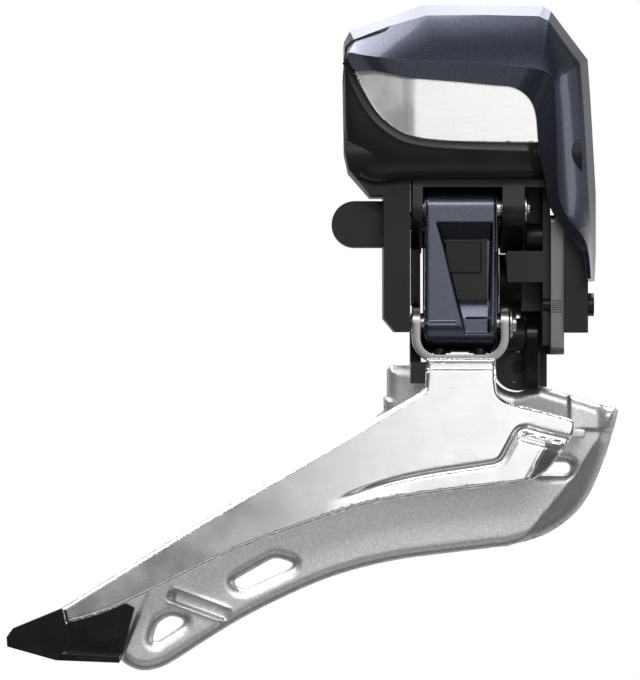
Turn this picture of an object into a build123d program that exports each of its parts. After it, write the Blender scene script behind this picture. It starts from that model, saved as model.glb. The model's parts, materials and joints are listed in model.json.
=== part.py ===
"""Electronic front derailleur for a road bicycle, braze-on type, with its motor, gears, links and chain cage.

Frame: X points forward on the bicycle, Y points inboard (towards the seat tube), Z points up.
The origin is the mouth of the clamp hole, at the crest of the mounting plate's curved face.
All sizes are in millimetres. Each finished piece is written to parts/ as one STEP file.
"""

from build123d import *
import math
import os

os.makedirs("parts", exist_ok=True)

# ---------------------------------------------------------------- driving dimensions

# Parallelogram, in the YZ plane. Every pivot axis runs along X.
LINK_LENGTH = 18.4
REST_LEAN = 4.0  # degrees that the links lean inboard in the low position
OUTER_TOP = (-16.5, 12.2)  # upper pivot of the outer link
INNER_TOP = (-6.3, 10.2)  # upper pivot of the inner link, and the output shaft
LEAN_Y = LINK_LENGTH * math.sin(math.radians(REST_LEAN))
LEAN_Z = -LINK_LENGTH * math.cos(math.radians(REST_LEAN))
OUTER_LOW = (OUTER_TOP[0] + LEAN_Y, OUTER_TOP[1] + LEAN_Z)
INNER_LOW = (INNER_TOP[0] + LEAN_Y, INNER_TOP[1] + LEAN_Z)

PIN_R = 1.5  # every pivot pin
RUNNING_GAP = 0.03  # radial clearance of a pin in the piece that turns on it
FIT_GAP = 0.02  # clearance of a piece that is held still in its seat

# Stations along X, from the rear to the front
GEARCASE_REAR = -28.8
GEARCASE_FRONT = -24.6
LEFT_EAR = (-24.2, -22.6)
RIGHT_EAR = (-9.9, -6.4)
PLATE_T = 2.1  # mounting plate thickness
LEG_FRONT = 3.7  # front face of the housing's leg

# Clamp hole, M5 x 0.8, drawn at its minor diameter
CLAMP_R = 2.1
BOSS_REAR = -9.9

# Chain cage
OUTER_FACE_Y = -19.0  # outboard face of the outer plate
OUTER_T = 1.8
CHAIN_GAP = 12.0
INNER_FACE_Y = OUTER_FACE_Y + OUTER_T + CHAIN_GAP
INNER_T = 1.6

# Motor housing
CASE_OUT_Y = -22.0
CASE_IN_Y = 6.0
DECK_Z = 15.4  # underside of the bracket's deck
DECK_TOP = 16.6

# Gears, module 0.4. Two layers side by side in the gear case.
MODULE = 0.4
LAYER_T = 1.25
REAR_LAYER_X = -28.05
FRONT_LAYER_X = -26.7
OUTPUT_TEETH = 32
LARGE_TEETH = 30
PINION_TEETH = 10
WHEEL_TEETH = 24
WORM_R = 2.0
GEAR_BACKLASH = 0.10
WORM_BACKLASH = 0.20

BUSH_R = 2.6  # outside of the output shaft's bushes

# Threaded fasteners
SUPPORT_AT = (-6.8, -13.4)  # X and Z of the support bolt's axis
SUPPORT_R = 2.5
TAIL_AT = (-74.2, -54.7)  # X and Z of the tail spacer


# ---------------------------------------------------------------- helpers


def across(x):
    """A sketch plane square to X at x. Its axes are Y and Z, and it extrudes forward."""
    return Plane.YZ.offset(x)


def outboard(y):
    """A sketch plane square to Y at y. Its axes are X and Z, and it extrudes outboard, to lower y."""
    return Plane.XZ.offset(-y)


def rod(x0, x1, at, radius, mode=Mode.ADD):
    """Adds a cylinder along X between x0 and x1, centred on at = (y, z)."""
    with BuildSketch(across(x0)) as disc:
        with Locations(at):
            Circle(radius)
    extrude(disc.sketch, amount=x1 - x0, mode=mode)


def stub(y0, y1, at, radius, mode=Mode.ADD):
    """Adds a cylinder along Y from y0 outboard to y1, centred on at = (x, z)."""
    with BuildSketch(outboard(y0)) as disc:
        with Locations(at):
            Circle(radius)
    extrude(disc.sketch, amount=y0 - y1, mode=mode)


def block(x, y, z, mode=Mode.ADD):
    """Adds a box between the pairs of limits x, y and z."""
    with Locations(((x[0] + x[1]) / 2, (y[0] + y[1]) / 2, (z[0] + z[1]) / 2)):
        Box(x[1] - x[0], y[1] - y[0], z[1] - z[0], mode=mode)


def slab(points, y0, y1, mode=Mode.ADD):
    """Adds a straight-sided outline of (x, z) points, filled from y0 outboard to y1."""
    with BuildSketch(outboard(y0)) as outline:
        with BuildLine():
            Polyline(*points, close=True)
        make_face()
    extrude(outline.sketch, amount=y0 - y1, mode=mode)


def cheek(points, x0, x1, mode=Mode.ADD):
    """Adds a straight-sided outline of (y, z) points, filled from x0 forward to x1."""
    with BuildSketch(across(x0)) as outline:
        with BuildLine():
            Polyline(*points, close=True)
        make_face()
    extrude(outline.sketch, amount=x1 - x0, mode=mode)


def strap(x0, x1, ends, radii, mode=Mode.ADD):
    """Adds a link-shaped plate from x0 forward to x1: two discs at the ends, joined by tangents."""
    with BuildSketch(across(x0)) as outline:
        for end, radius in zip(ends, radii):
            with Locations(end):
                Circle(radius)
        make_hull()
    extrude(outline.sketch, amount=x1 - x0, mode=mode)


def hex_socket(at, face_y, depth, across_flats):
    """Sinks a hexagonal key socket along Y from the outboard face at face_y."""
    with BuildSketch(outboard(face_y + depth)) as key:
        with Locations(at):
            RegularPolygon(across_flats / 2, 6, major_radius=False)
    extrude(key.sketch, amount=depth, mode=Mode.SUBTRACT)


def polar(centre, radius, degrees):
    """The point at that radius and angle from centre."""
    angle = math.radians(degrees)
    return (centre[0] + radius * math.cos(angle), centre[1] + radius * math.sin(angle))


def save(piece, name):
    """Labels a finished piece and writes its STEP file."""
    piece.label = name
    export_step(piece, f"parts/{name}.step")


# ---------------------------------------------------------------- base bracket and mounting plate

POST = (-6.4, -PLATE_T)  # X limits of the front post
BACKING = (-3.3, -PLATE_T)  # X limits of the thin wall that backs the mounting plate
POST_OUT_Y = -6.0
POST_IN_Y = 5.0
ARM_OUT_Y = -14.5
LUG_OUT_Y = -1.0
LUG_X, LUG_Z = SUPPORT_AT
PLATE_TOP = 11.0
PLATE_LOW = -11.3
PLATE_OUT_Y = -17.5
PLATE_SCREWS = [(2.0, -8.4), (-11.0, 7.6)]  # Y and Z
LEG_SCREW = (-14.5, -3.3)  # Y and Z
SCREW_R = 1.0  # small screws, drawn without their thread
DECK_SCREWS = [(-20.5, 3.0), (-13.0, 3.0)]  # X and Y

with BuildPart() as base_bracket:
    # Two cheeks carry both upper pivots
    for x0, x1 in (LEFT_EAR, RIGHT_EAR):
        with BuildSketch(across(x0)) as ear:
            with Locations(OUTER_TOP):
                Circle(3.3)
            with Locations(INNER_TOP):
                Circle(5.2)
            with Locations((-8.0, DECK_Z + 0.5)):
                Rectangle(23.0, 1.0)
            make_hull()
        extrude(ear.sketch, amount=x1 - x0)
    # The deck that the motor unit sits on, and the web that joins the cheeks inboard
    block((LEFT_EAR[0], -PLATE_T), (-19.5, POST_IN_Y), (DECK_Z, DECK_TOP))
    block((LEFT_EAR[0], -PLATE_T), (1.2, POST_IN_Y - 0.8), (6.0, DECK_Z))
    # The rear cheek reaches down beside the inner link
    block((LEFT_EAR[0], LEFT_EAR[1] - 0.2), (-9.0, 2.0), (-3.4, 6.5))
    # The front post behind the mounting plate, with the arm that reaches outboard
    block(POST, (POST_OUT_Y, POST_IN_Y), (-4.3, DECK_Z))
    block(POST, (-0.8, POST_IN_Y), (-11.3, DECK_Z))
    block((-9.0, -PLATE_T), (ARM_OUT_Y, POST_OUT_Y), (0.3, 5.3))
    block(BACKING, (ARM_OUT_Y, POST_OUT_Y), (-9.8, DECK_Z))
    rod(BOSS_REAR, -PLATE_T, (0, 0), 5.0)
    rod(-5.8, -PLATE_T, PLATE_SCREWS[1], 2.2)
    # The lug for the support bolt
    block((-4.2, -PLATE_T), (LUG_OUT_Y, POST_IN_Y), (LUG_Z - 3.2, -11.0))
    block((LUG_X, -2.6), (LUG_OUT_Y, POST_IN_Y), (LUG_Z - 2.6, LUG_Z + 2.6))
    stub(POST_IN_Y, LUG_OUT_Y, SUPPORT_AT, 3.8)
    # Holes: clamp thread, pivots, support bolt and small screws
    rod(BOSS_REAR, -PLATE_T, (0, 0), CLAMP_R, mode=Mode.SUBTRACT)
    rod(LEFT_EAR[0], RIGHT_EAR[1], OUTER_TOP, PIN_R + FIT_GAP, mode=Mode.SUBTRACT)
    rod(LEFT_EAR[0], RIGHT_EAR[1], INNER_TOP, BUSH_R + FIT_GAP, mode=Mode.SUBTRACT)
    stub(POST_IN_Y, LUG_OUT_Y, SUPPORT_AT, SUPPORT_R + RUNNING_GAP, mode=Mode.SUBTRACT)
    for at in PLATE_SCREWS:
        rod(-5.4, -PLATE_T, at, SCREW_R + FIT_GAP, mode=Mode.SUBTRACT)
    rod(BACKING[0], -PLATE_T, LEG_SCREW, SCREW_R + FIT_GAP, mode=Mode.SUBTRACT)
    for x, y in DECK_SCREWS:
        with Locations(Plane.XY.offset(DECK_TOP)):
            with Locations((x, y)):
                Hole(SCREW_R + FIT_GAP, depth=DECK_TOP - 6.0)

save(base_bracket.part, "base_bracket")

PAD_HALF = 6.5  # half the width of the curved contact face
PAD_CROWN_R = 20.0

with BuildPart() as mounting_plate:
    block((-PLATE_T, 0), (PLATE_OUT_Y, PAD_HALF), (PLATE_LOW, PLATE_TOP))
    corners = mounting_plate.edges().filter_by(Axis.X)
    fillet(corners, 1.2)
    # The contact face is crowned about a vertical axis, so that the unit can be turned to line up its cage
    with BuildSketch(Plane.XY.offset(PLATE_LOW)) as waste:
        Rectangle(2.4, 2 * PAD_HALF)
        with Locations((-PAD_CROWN_R, 0)):
            Circle(PAD_CROWN_R, mode=Mode.SUBTRACT)
    extrude(waste.sketch, amount=PLATE_TOP - PLATE_LOW, mode=Mode.SUBTRACT)
    rod(-PLATE_T, 0, (0, 0), CLAMP_R, mode=Mode.SUBTRACT)
    rod(-PLATE_T, 0, LEG_SCREW, SCREW_R + FIT_GAP, mode=Mode.SUBTRACT)
    for at in PLATE_SCREWS:
        with Locations(across(0)):
            with Locations(at):
                CounterSinkHole(SCREW_R + FIT_GAP, 2.0, depth=PLATE_T)

save(mounting_plate.part, "mounting_plate")

with BuildPart() as plate_screws:
    for at in PLATE_SCREWS:
        rod(-5.2, -0.6, at, SCREW_R)
        with Locations(across(-0.6)):
            with Locations(at):
                Cone(SCREW_R, 1.9, 1.0)

save(plate_screws.part, "plate_screws")

# ---------------------------------------------------------------- motor housing and its covers

CASE_OUTLINE = [
    (-35.0, 37.6), (-34.0, 38.6), (-22.6, 42.9), (-4.0, 42.5), (2.2, 35.2), (2.6, 24.6), (2.6, 16.62),
    (-33.0, 16.62), (-34.4, 18.1), (-35.1, 21.2), (-35.3, 33.3),
]  # X and Z, seen from outboard
GEARCASE_OUTLINE = [
    (-34.4, 18.1), (-30.9, 14.1), (GEARCASE_REAR, 14.1), (GEARCASE_REAR, -5.5), (-27.0, -7.7),
    (GEARCASE_FRONT, -7.7), (GEARCASE_FRONT, 18.1),
]
CAVITY_OUTLINE = [
    (-34.0, 37.2), (-22.4, 41.5), (-4.6, 41.1), (1.0, 34.8), (1.3, 24.6),
    (1.3, 18.0), (-33.2, 18.0), (-34.0, 21.0),
]
SEAL_FACE_Y = 4.2  # inboard rim of the housing
GASKET_T = 0.5
FRONT_WALL_Y = CASE_OUT_Y + 1.4
GEAR_SLOT = (-28.1, -25.35)  # X limits of the space the gears run in
GEAR_SLOT_Z = 2.6

INTERMEDIATE = polar(INNER_TOP, MODULE * (OUTPUT_TEETH + PINION_TEETH) / 2, 110)
REDUCTION = polar(INTERMEDIATE, MODULE * (LARGE_TEETH + PINION_TEETH) / 2, 120)
WORM_X = REAR_LAYER_X + LAYER_T / 2
WORM_Z = REDUCTION[1] + MODULE * WHEEL_TEETH / 2 + WORM_R
AXLE_R = 0.75
MOTOR_R = 5.5
MOTOR_Y = (-7.6, 3.0)
WORM_SEAT_Y = -16.4  # inboard end of the boss that steadies the worm's tip

COVER_SCREWS = [(-32.5, 22.0), (-20.0, 40.6), (-3.2, 38.6), (-0.4, 28.2)]  # X and Z
HOOD_SCREWS = [(0.0, 24.7), (0.0, 18.2)]  # Y and Z
BOARD_POSTS = [(-18.0, 35.0), (-2.0, 22.0)]  # X and Z
BOARD_Y = -15.0
PORT_AT = (-33.4, 9.6)  # X and Z of the wire port
PORT_R = 2.3
PORT_MOUTH_Y = -4.0
PORT_PINS = (-0.9, 0.9)
SEAL_R = 2.4

with BuildPart() as motor_housing:
    slab(CASE_OUTLINE, SEAL_FACE_Y, CASE_OUT_Y - 2.0)
    # The outboard face: flat under the panel, a ledge below it, then a bulge that rolls under
    with BuildSketch(across(-36)) as profile:
        with BuildLine():
            Polyline((-19.5, 16.62), (SEAL_FACE_Y, 16.62), (SEAL_FACE_Y, 45), (-19.0, 45), (CASE_OUT_Y, 40))
            Polyline((CASE_OUT_Y, 40), (CASE_OUT_Y, 22.9), (-23.3, 22.5))
            Spline((-23.3, 22.5), (-23.8, 20.6), (-22.4, 17.8), (-19.5, 16.62))
        make_face()
    extrude(profile.sketch, amount=40, mode=Mode.INTERSECT)
    slab(GEARCASE_OUTLINE, SEAL_FACE_Y, -20.0)
    block((0.02, LEG_FRONT), (-20.0, -8.0), (-7.8, 14.2))
    block((0.02, LEG_FRONT - 0.3), (-20.0, -8.0), (14.2, 17.0))
    # The wire port
    stub(PORT_MOUTH_Y, -14.0, PORT_AT, 3.7)
    block((PORT_AT[0], GEARCASE_REAR), (-14.0, PORT_MOUTH_Y), (PORT_AT[1] - 3.7, PORT_AT[1] + 3.7))
    # The space for the motor and the board, open to the inboard side
    slab(CAVITY_OUTLINE, SEAL_FACE_Y, FRONT_WALL_Y, mode=Mode.SUBTRACT)
    # Walls either side of the gears, cradles for the motor, posts for the board and bosses for the screws
    for x0, x1 in ((GEARCASE_REAR, GEAR_SLOT[0]), (GEAR_SLOT[1], GEARCASE_FRONT)):
        block((x0, x1), (FRONT_WALL_Y, -5.0), (17.0, 22.5))
        block((x0, x1), (FRONT_WALL_Y, -9.4), (17.0, 29.0))
    for y in (-6.5, 0.8):
        block((-34.0, -21.0), (y - 0.8, y + 0.8), (24.9, 28.0))
    for at in BOARD_POSTS:
        stub(BOARD_Y, FRONT_WALL_Y, at, 1.3)
    for at in COVER_SCREWS:
        stub(SEAL_FACE_Y, -6.0, at, 1.8)
    for y, z in HOOD_SCREWS:
        block((-3.0, 1.3), (y - 2.0, y + 2.0), (z - 1.6, z + 2.0))
    stub(WORM_SEAT_Y, FRONT_WALL_Y, (WORM_X, WORM_Z), 1.9)
    # Clearances and holes
    block(GEAR_SLOT, (-16.4, SEAL_FACE_Y), (GEAR_SLOT_Z, 24.7), mode=Mode.SUBTRACT)
    stub(MOTOR_Y[1] + 1.0, MOTOR_Y[0] - 1.0, (WORM_X, WORM_Z), MOTOR_R + FIT_GAP, mode=Mode.SUBTRACT)
    stub(WORM_SEAT_Y, -18.2, (WORM_X, WORM_Z), AXLE_R + RUNNING_GAP, mode=Mode.SUBTRACT)
    for at in (INTERMEDIATE, REDUCTION):
        rod(-28.6, -24.9, at, AXLE_R + FIT_GAP, mode=Mode.SUBTRACT)
    rod(GEAR_SLOT[1], GEARCASE_FRONT, INNER_TOP, SEAL_R + FIT_GAP, mode=Mode.SUBTRACT)
    stub(PORT_MOUTH_Y, -11.0, PORT_AT, PORT_R, mode=Mode.SUBTRACT)
    for offset in PORT_PINS:
        stub(-11.0, -12.5, (PORT_AT[0] + offset, PORT_AT[1]), 0.3, mode=Mode.SUBTRACT)
    for at in COVER_SCREWS:
        stub(SEAL_FACE_Y, -3.2, at, SCREW_R + FIT_GAP, mode=Mode.SUBTRACT)
    for at in HOOD_SCREWS:
        rod(-2.0, 2.6, at, SCREW_R + FIT_GAP, mode=Mode.SUBTRACT)
    for at in DECK_SCREWS:
        with Locations((at[0], at[1], 17.3)):
            Cylinder(SCREW_R + FIT_GAP, 1.6, mode=Mode.SUBTRACT)
    rod(0, LEG_FRONT, LEG_SCREW, SCREW_R + FIT_GAP, mode=Mode.SUBTRACT)

save(motor_housing.part, "motor_housing")

with BuildPart() as housing_gasket:
    slab(CASE_OUTLINE, SEAL_FACE_Y + GASKET_T, SEAL_FACE_Y)
    slab(GEARCASE_OUTLINE, SEAL_FACE_Y + GASKET_T, SEAL_FACE_Y)
    slab(CAVITY_OUTLINE, SEAL_FACE_Y + GASKET_T, SEAL_FACE_Y, mode=Mode.SUBTRACT)
    block(GEAR_SLOT, (SEAL_FACE_Y, SEAL_FACE_Y + GASKET_T), (GEAR_SLOT_Z, 24.7), mode=Mode.SUBTRACT)
    for at in COVER_SCREWS:
        stub(SEAL_FACE_Y + GASKET_T, SEAL_FACE_Y, at, 1.8)
        stub(SEAL_FACE_Y + GASKET_T, SEAL_FACE_Y, at, SCREW_R + FIT_GAP, mode=Mode.SUBTRACT)

save(housing_gasket.part, "housing_gasket")

with BuildPart() as back_cover:
    slab(CASE_OUTLINE, CASE_IN_Y, SEAL_FACE_Y + GASKET_T)
    slab(GEARCASE_OUTLINE, CASE_IN_Y, SEAL_FACE_Y + GASKET_T)
    rim = back_cover.faces().sort_by(Axis.Y)[-1].edges()
    chamfer(rim, 0.4)
    for at in COVER_SCREWS:
        stub(CASE_IN_Y, SEAL_FACE_Y + GASKET_T, at, SCREW_R + FIT_GAP, mode=Mode.SUBTRACT)
        stub(CASE_IN_Y, CASE_IN_Y - 0.7, at, 1.75, mode=Mode.SUBTRACT)

save(back_cover.part, "back_cover")

with BuildPart() as back_cover_screws:
    for at in COVER_SCREWS:
        stub(CASE_IN_Y - 0.7, -3.0, at, SCREW_R)
        stub(CASE_IN_Y + 0.3, CASE_IN_Y - 0.7, at, 1.7)
        with BuildSketch(outboard(CASE_IN_Y + 0.3)) as key:
            with Locations(at):
                RegularPolygon(0.8, 6)
        extrude(key.sketch, amount=0.6, mode=Mode.SUBTRACT)

save(back_cover_screws.part, "back_cover_screws")

# The painted hood wraps the top, the outboard face and the front of the housing
HOOD_OUTER = [
    (-35.2, 38.4), (-34.0, 40.2), (-22.7, 44.5), (-3.3, 44.1), (-1.7, 43.4), (3.6, 35.9),
    (4.3, 24.6), (5.0, 14.2), (5.0, 4.8), (4.8, 0.8),
]
HOOD_WINDOW = [
    (3.9, 0.0), (2.9, 0.6), (2.4, 4.8), (-2.6, 11.4), (-3.8, 13.4), (-4.5, 22.6),
    (-5.4, 28.4), (-7.5, 30.7), (-11.0, 31.4), (-23.1, 32.3), (-33.3, 33.6), (-35.2, 35.0),
]
HOOD_INNER = [
    (-36.0, 37.5), (-35.0, 37.7), (-34.0, 38.7), (-22.6, 43.0), (-4.0, 42.6), (2.3, 35.24), (2.8, 24.6),
    (3.74, 14.2), (3.74, -1.0), (-36.0, -1.0),
]
HOOD_FACE_Y = -25.5
HOOD_FRONT_T = 1.3
HOOD_IN_Y = -8.0  # inboard rim of the lower front wall
HOOD_TOP_IN_Y = 3.0  # inboard rim of the rest

with BuildPart() as hood_cover:
    slab(HOOD_OUTER + HOOD_WINDOW, HOOD_TOP_IN_Y, HOOD_FACE_Y)
    facets = hood_cover.faces().sort_by(Axis.Y)[0].edges().filter_by(lambda edge: edge.center().Z > 36.0)
    chamfer(facets, 3.2, 1.8)
    slab(HOOD_INNER, HOOD_TOP_IN_Y, HOOD_FACE_Y + HOOD_FRONT_T, mode=Mode.SUBTRACT)
    block((-6.0, 6.0), (HOOD_IN_Y, HOOD_TOP_IN_Y), (-1.0, 15.0), mode=Mode.SUBTRACT)
    for at in HOOD_SCREWS:
        rod(2.0, 6.0, at, SCREW_R + FIT_GAP, mode=Mode.SUBTRACT)
        rod(3.6, 6.0, at, 1.55, mode=Mode.SUBTRACT)

save(hood_cover.part, "hood_cover")

with BuildPart() as hood_screws:
    for at in HOOD_SCREWS:
        rod(-1.8, 3.6, at, SCREW_R)
        rod(3.6, 4.95, at, 1.5)
        with BuildSketch(across(4.35)) as key:
            with Locations(at):
                RegularPolygon(0.8, 6)
        extrude(key.sketch, amount=0.6, mode=Mode.SUBTRACT)

save(hood_screws.part, "hood_screws")

PANEL_OUTLINE = [
    (-12.0, 23.0), (-24.8, 23.2), (-26.9, 24.4), (-29.3, 27.0), (-34.6, 35.0),
    (-22.0, 37.0), (-3.0, 36.0), (-3.0, 23.0),
]

with BuildPart() as face_plate:
    slab(PANEL_OUTLINE, CASE_OUT_Y, CASE_OUT_Y - 0.6)

save(face_plate.part, "face_plate")

with BuildPart() as deck_screws:
    for x, y in DECK_SCREWS:
        with Locations((x, y, 13.3)):
            Cylinder(SCREW_R, 9.4)
        with Locations((x, y, 18.55)):
            Cylinder(1.6, 1.1)

save(deck_screws.part, "deck_screws")

with BuildPart() as leg_screw:
    rod(-3.3, LEG_FRONT, LEG_SCREW, SCREW_R)
    rod(LEG_FRONT, LEG_FRONT + 1.15, LEG_SCREW, 1.85)
    with BuildSketch(across(LEG_FRONT + 0.35)) as key:
        with Locations(LEG_SCREW):
            RegularPolygon(0.9, 6)
    extrude(key.sketch, amount=0.8, mode=Mode.SUBTRACT)

save(leg_screw.part, "leg_screw")

# ---------------------------------------------------------------- motor and electronics

MOTOR_AT = (WORM_X, WORM_Z)  # X and Z of the motor shaft

with BuildPart() as motor_can:
    stub(MOTOR_Y[1], MOTOR_Y[0], MOTOR_AT, MOTOR_R)
    stub(MOTOR_Y[1], MOTOR_Y[0] + 0.8, MOTOR_AT, MOTOR_R - 0.7, mode=Mode.SUBTRACT)
    stub(MOTOR_Y[1], MOTOR_Y[0], MOTOR_AT, AXLE_R + RUNNING_GAP, mode=Mode.SUBTRACT)

save(motor_can.part, "motor_can")

with BuildPart() as motor_end_cap:
    stub(MOTOR_Y[1] + 0.8, MOTOR_Y[1], MOTOR_AT, MOTOR_R)
    stub(MOTOR_Y[1], MOTOR_Y[1] - 0.8, MOTOR_AT, MOTOR_R - 0.75)
    stub(MOTOR_Y[1], MOTOR_Y[1] - 0.8, MOTOR_AT, AXLE_R + RUNNING_GAP, mode=Mode.SUBTRACT)

save(motor_end_cap.part, "motor_end_cap")

with BuildPart() as rotor_core:
    stub(MOTOR_Y[1] - 1.6, MOTOR_Y[0] + 1.6, MOTOR_AT, 3.6)
    stub(MOTOR_Y[1] - 1.6, MOTOR_Y[0] + 1.6, MOTOR_AT, AXLE_R, mode=Mode.SUBTRACT)

save(rotor_core.part, "rotor_core")

with BuildPart() as motor_shaft:
    stub(MOTOR_Y[1] - 0.1, -18.0, MOTOR_AT, AXLE_R)

save(motor_shaft.part, "motor_shaft")

with BuildPart() as circuit_board:
    slab([(-19.6, 20.5), (-19.6, 38.0), (-4.0, 38.0), (0.4, 33.5), (0.4, 20.5)], BOARD_Y + 1.0, BOARD_Y)

save(circuit_board.part, "circuit_board")

with BuildPart() as board_chips:
    for x, z, width, height in ((-13.5, 30.0, 5.0, 5.0), (-6.0, 31.0, 3.0, 3.0), (-8.0, 24.0, 4.0, 3.0)):
        block((x - width / 2, x + width / 2), (BOARD_Y + 1.0, BOARD_Y + 1.9), (z - height / 2, z + height / 2))

save(board_chips.part, "board_chips")

with BuildPart() as port_contacts:
    for offset in PORT_PINS:
        stub(-11.05, -12.4, (PORT_AT[0] + offset, PORT_AT[1]), 0.28)

save(port_contacts.part, "port_contacts")

# ---------------------------------------------------------------- gears

PRESSURE = math.radians(20)


def gear(x0, centre, teeth, phase, backlash):
    """Adds a spur gear in the layer that starts at x0. One tooth points at phase degrees, in the YZ plane."""
    pitch_r = MODULE * teeth / 2
    base_r = pitch_r * math.cos(PRESSURE)
    tip_r = pitch_r + 0.85 * MODULE
    root_r = pitch_r - 1.2 * MODULE
    half_tooth = math.pi / (2 * teeth) - backlash / (2 * pitch_r) + math.tan(PRESSURE) - PRESSURE
    flank = []
    for step in range(4):
        radius = max(root_r, base_r) + (tip_r - max(root_r, base_r)) * step / 3
        roll = math.acos(min(1.0, base_r / radius))
        flank.append((radius, half_tooth - math.tan(roll) + roll))
    outline = []
    for tooth in range(teeth):
        middle = math.radians(phase) + 2 * math.pi * tooth / teeth
        outline.append((root_r, middle - flank[0][1]))
        outline += [(radius, middle - half) for radius, half in flank]
        outline += [(radius, middle + half) for radius, half in reversed(flank)]
        outline.append((root_r, middle + flank[0][1]))
    points = [(centre[0] + r * math.cos(a), centre[1] + r * math.sin(a)) for r, a in outline]
    with BuildSketch(across(x0)) as blank:
        with BuildLine():
            Polyline(*points, close=True)
        make_face()
    extrude(blank.sketch, amount=LAYER_T)


def mate_phase(phase, teeth, mate_teeth, direction):
    """The phase of a gear that meshes with another. Direction is from the first centre to its mate's."""
    return direction + 180 + (direction - phase) * teeth / mate_teeth + 180 / mate_teeth


OUTPUT_PHASE = 0.0
PINION_PHASE = mate_phase(OUTPUT_PHASE, OUTPUT_TEETH, PINION_TEETH, 110)
LARGE_PHASE = 0.0
REDUCTION_PHASE = mate_phase(LARGE_PHASE, LARGE_TEETH, PINION_TEETH, 120)
WHEEL_PHASE = 90.0

with BuildPart() as output_gear:
    gear(REAR_LAYER_X, INNER_TOP, OUTPUT_TEETH, OUTPUT_PHASE, GEAR_BACKLASH)
    rod(REAR_LAYER_X + LAYER_T, -25.5, INNER_TOP, 1.9)
    rod(REAR_LAYER_X, -25.5, INNER_TOP, PIN_R + FIT_GAP, mode=Mode.SUBTRACT)

save(output_gear.part, "output_gear")

with BuildPart() as intermediate_gear:
    gear(REAR_LAYER_X, INTERMEDIATE, PINION_TEETH, PINION_PHASE, GEAR_BACKLASH)
    gear(FRONT_LAYER_X, INTERMEDIATE, LARGE_TEETH, LARGE_PHASE, GEAR_BACKLASH)
    rod(REAR_LAYER_X, FRONT_LAYER_X, INTERMEDIATE, 1.45)
    rod(REAR_LAYER_X, FRONT_LAYER_X + LAYER_T, INTERMEDIATE, AXLE_R + RUNNING_GAP, mode=Mode.SUBTRACT)

save(intermediate_gear.part, "intermediate_gear")

with BuildPart() as reduction_gear:
    gear(REAR_LAYER_X, REDUCTION, WHEEL_TEETH, WHEEL_PHASE, WORM_BACKLASH)
    gear(FRONT_LAYER_X, REDUCTION, PINION_TEETH, REDUCTION_PHASE, GEAR_BACKLASH)
    rod(REAR_LAYER_X, FRONT_LAYER_X, REDUCTION, 1.45)
    rod(REAR_LAYER_X, FRONT_LAYER_X + LAYER_T, REDUCTION, AXLE_R + RUNNING_GAP, mode=Mode.SUBTRACT)

save(reduction_gear.part, "reduction_gear")

with BuildPart() as gear_axles:
    for at in (INTERMEDIATE, REDUCTION):
        rod(-28.6, -24.9, at, AXLE_R)

save(gear_axles.part, "gear_axles")

# The worm is a core with one right-hand thread, made of a trapezoid swept along a helix
WORM_PITCH = math.pi * MODULE
WORM_TURNS = 4
WORM_CORE_R = WORM_R - 1.2 * MODULE
WORM_LENGTH = WORM_TURNS * WORM_PITCH
THREAD_LENGTH = WORM_LENGTH - WORM_PITCH
WORM_SPIN = 270.0  # degrees, so that the thread sits between two teeth of the wheel

with BuildPart() as worm:
    Cylinder(WORM_CORE_R, WORM_LENGTH + 0.8)
    with BuildLine() as thread_path:
        Helix(WORM_PITCH, THREAD_LENGTH, WORM_R, center=(0, 0, -THREAD_LENGTH / 2))
    start = thread_path.line @ 0
    with BuildSketch(Plane(origin=start, x_dir=(1, 0, 0), z_dir=thread_path.line % 0)) as thread:
        with BuildLine():
            Polyline((-0.6, -0.42), (0.34, -0.16), (0.34, 0.16), (-0.6, 0.42), close=True)
        make_face()
    sweep(thread.sketch, path=thread_path.line, is_frenet=True)
    Cylinder(AXLE_R, WORM_LENGTH + 0.8, mode=Mode.SUBTRACT)

placed_worm = Pos(WORM_X, REDUCTION[0], WORM_Z) * Rot(90, 0, 0) * Rot(0, 0, WORM_SPIN) * worm.part
save(placed_worm, "worm")

# ---------------------------------------------------------------- links, shaft and pins

LINK_X = (-22.4, -10.7)
LINK_R = 3.1  # outside of the outer link's barrels
BEARING_R = 2.1  # outside of the bushes in the links
BUSH_L = 3.0
INNER_LINK_X = (-22.3, -10.2)
BARREL_FRONT = -5.9  # front end of the inner link's lower barrel
CAGE_REAR_EAR = (-24.45, -22.7)
CAGE_FRONT_EAR = (-10.6, -8.7)
INNER_FRONT_EAR = (-5.8, -3.6)

with BuildPart() as outer_link:
    strap(*LINK_X, (OUTER_TOP, OUTER_LOW), (LINK_R, LINK_R + 0.2))
    # The sunk panel narrows downwards and follows the lower barrel round. A window is cut through it.
    slab([(-20.7, 9.4), (-11.9, 9.6), (-11.9, -7.6), (-16.4, -7.6)], -17.4, -30.0, mode=Mode.SUBTRACT)
    slab([(-19.8, 7.6), (-12.8, 7.6), (-12.8, -2.6), (-17.2, -2.6)], 0.0, -30.0, mode=Mode.SUBTRACT)
    rod(*LINK_X, OUTER_LOW, 2.9)
    for at in (OUTER_TOP, OUTER_LOW):
        rod(*LINK_X, at, BEARING_R + FIT_GAP, mode=Mode.SUBTRACT)

save(outer_link.part, "outer_link")

with BuildPart() as outer_link_bushes:
    for at in (OUTER_TOP, OUTER_LOW):
        for x in (LINK_X[0], LINK_X[1] - BUSH_L):
            rod(x, x + BUSH_L, at, BEARING_R)
            rod(x, x + BUSH_L, at, PIN_R + RUNNING_GAP, mode=Mode.SUBTRACT)

save(outer_link_bushes.part, "outer_link_bushes")

ADJUST_AT = (-16.0, 3.2)  # X and Z of the low adjust screw
ADJUST_R = 1.6

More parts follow.
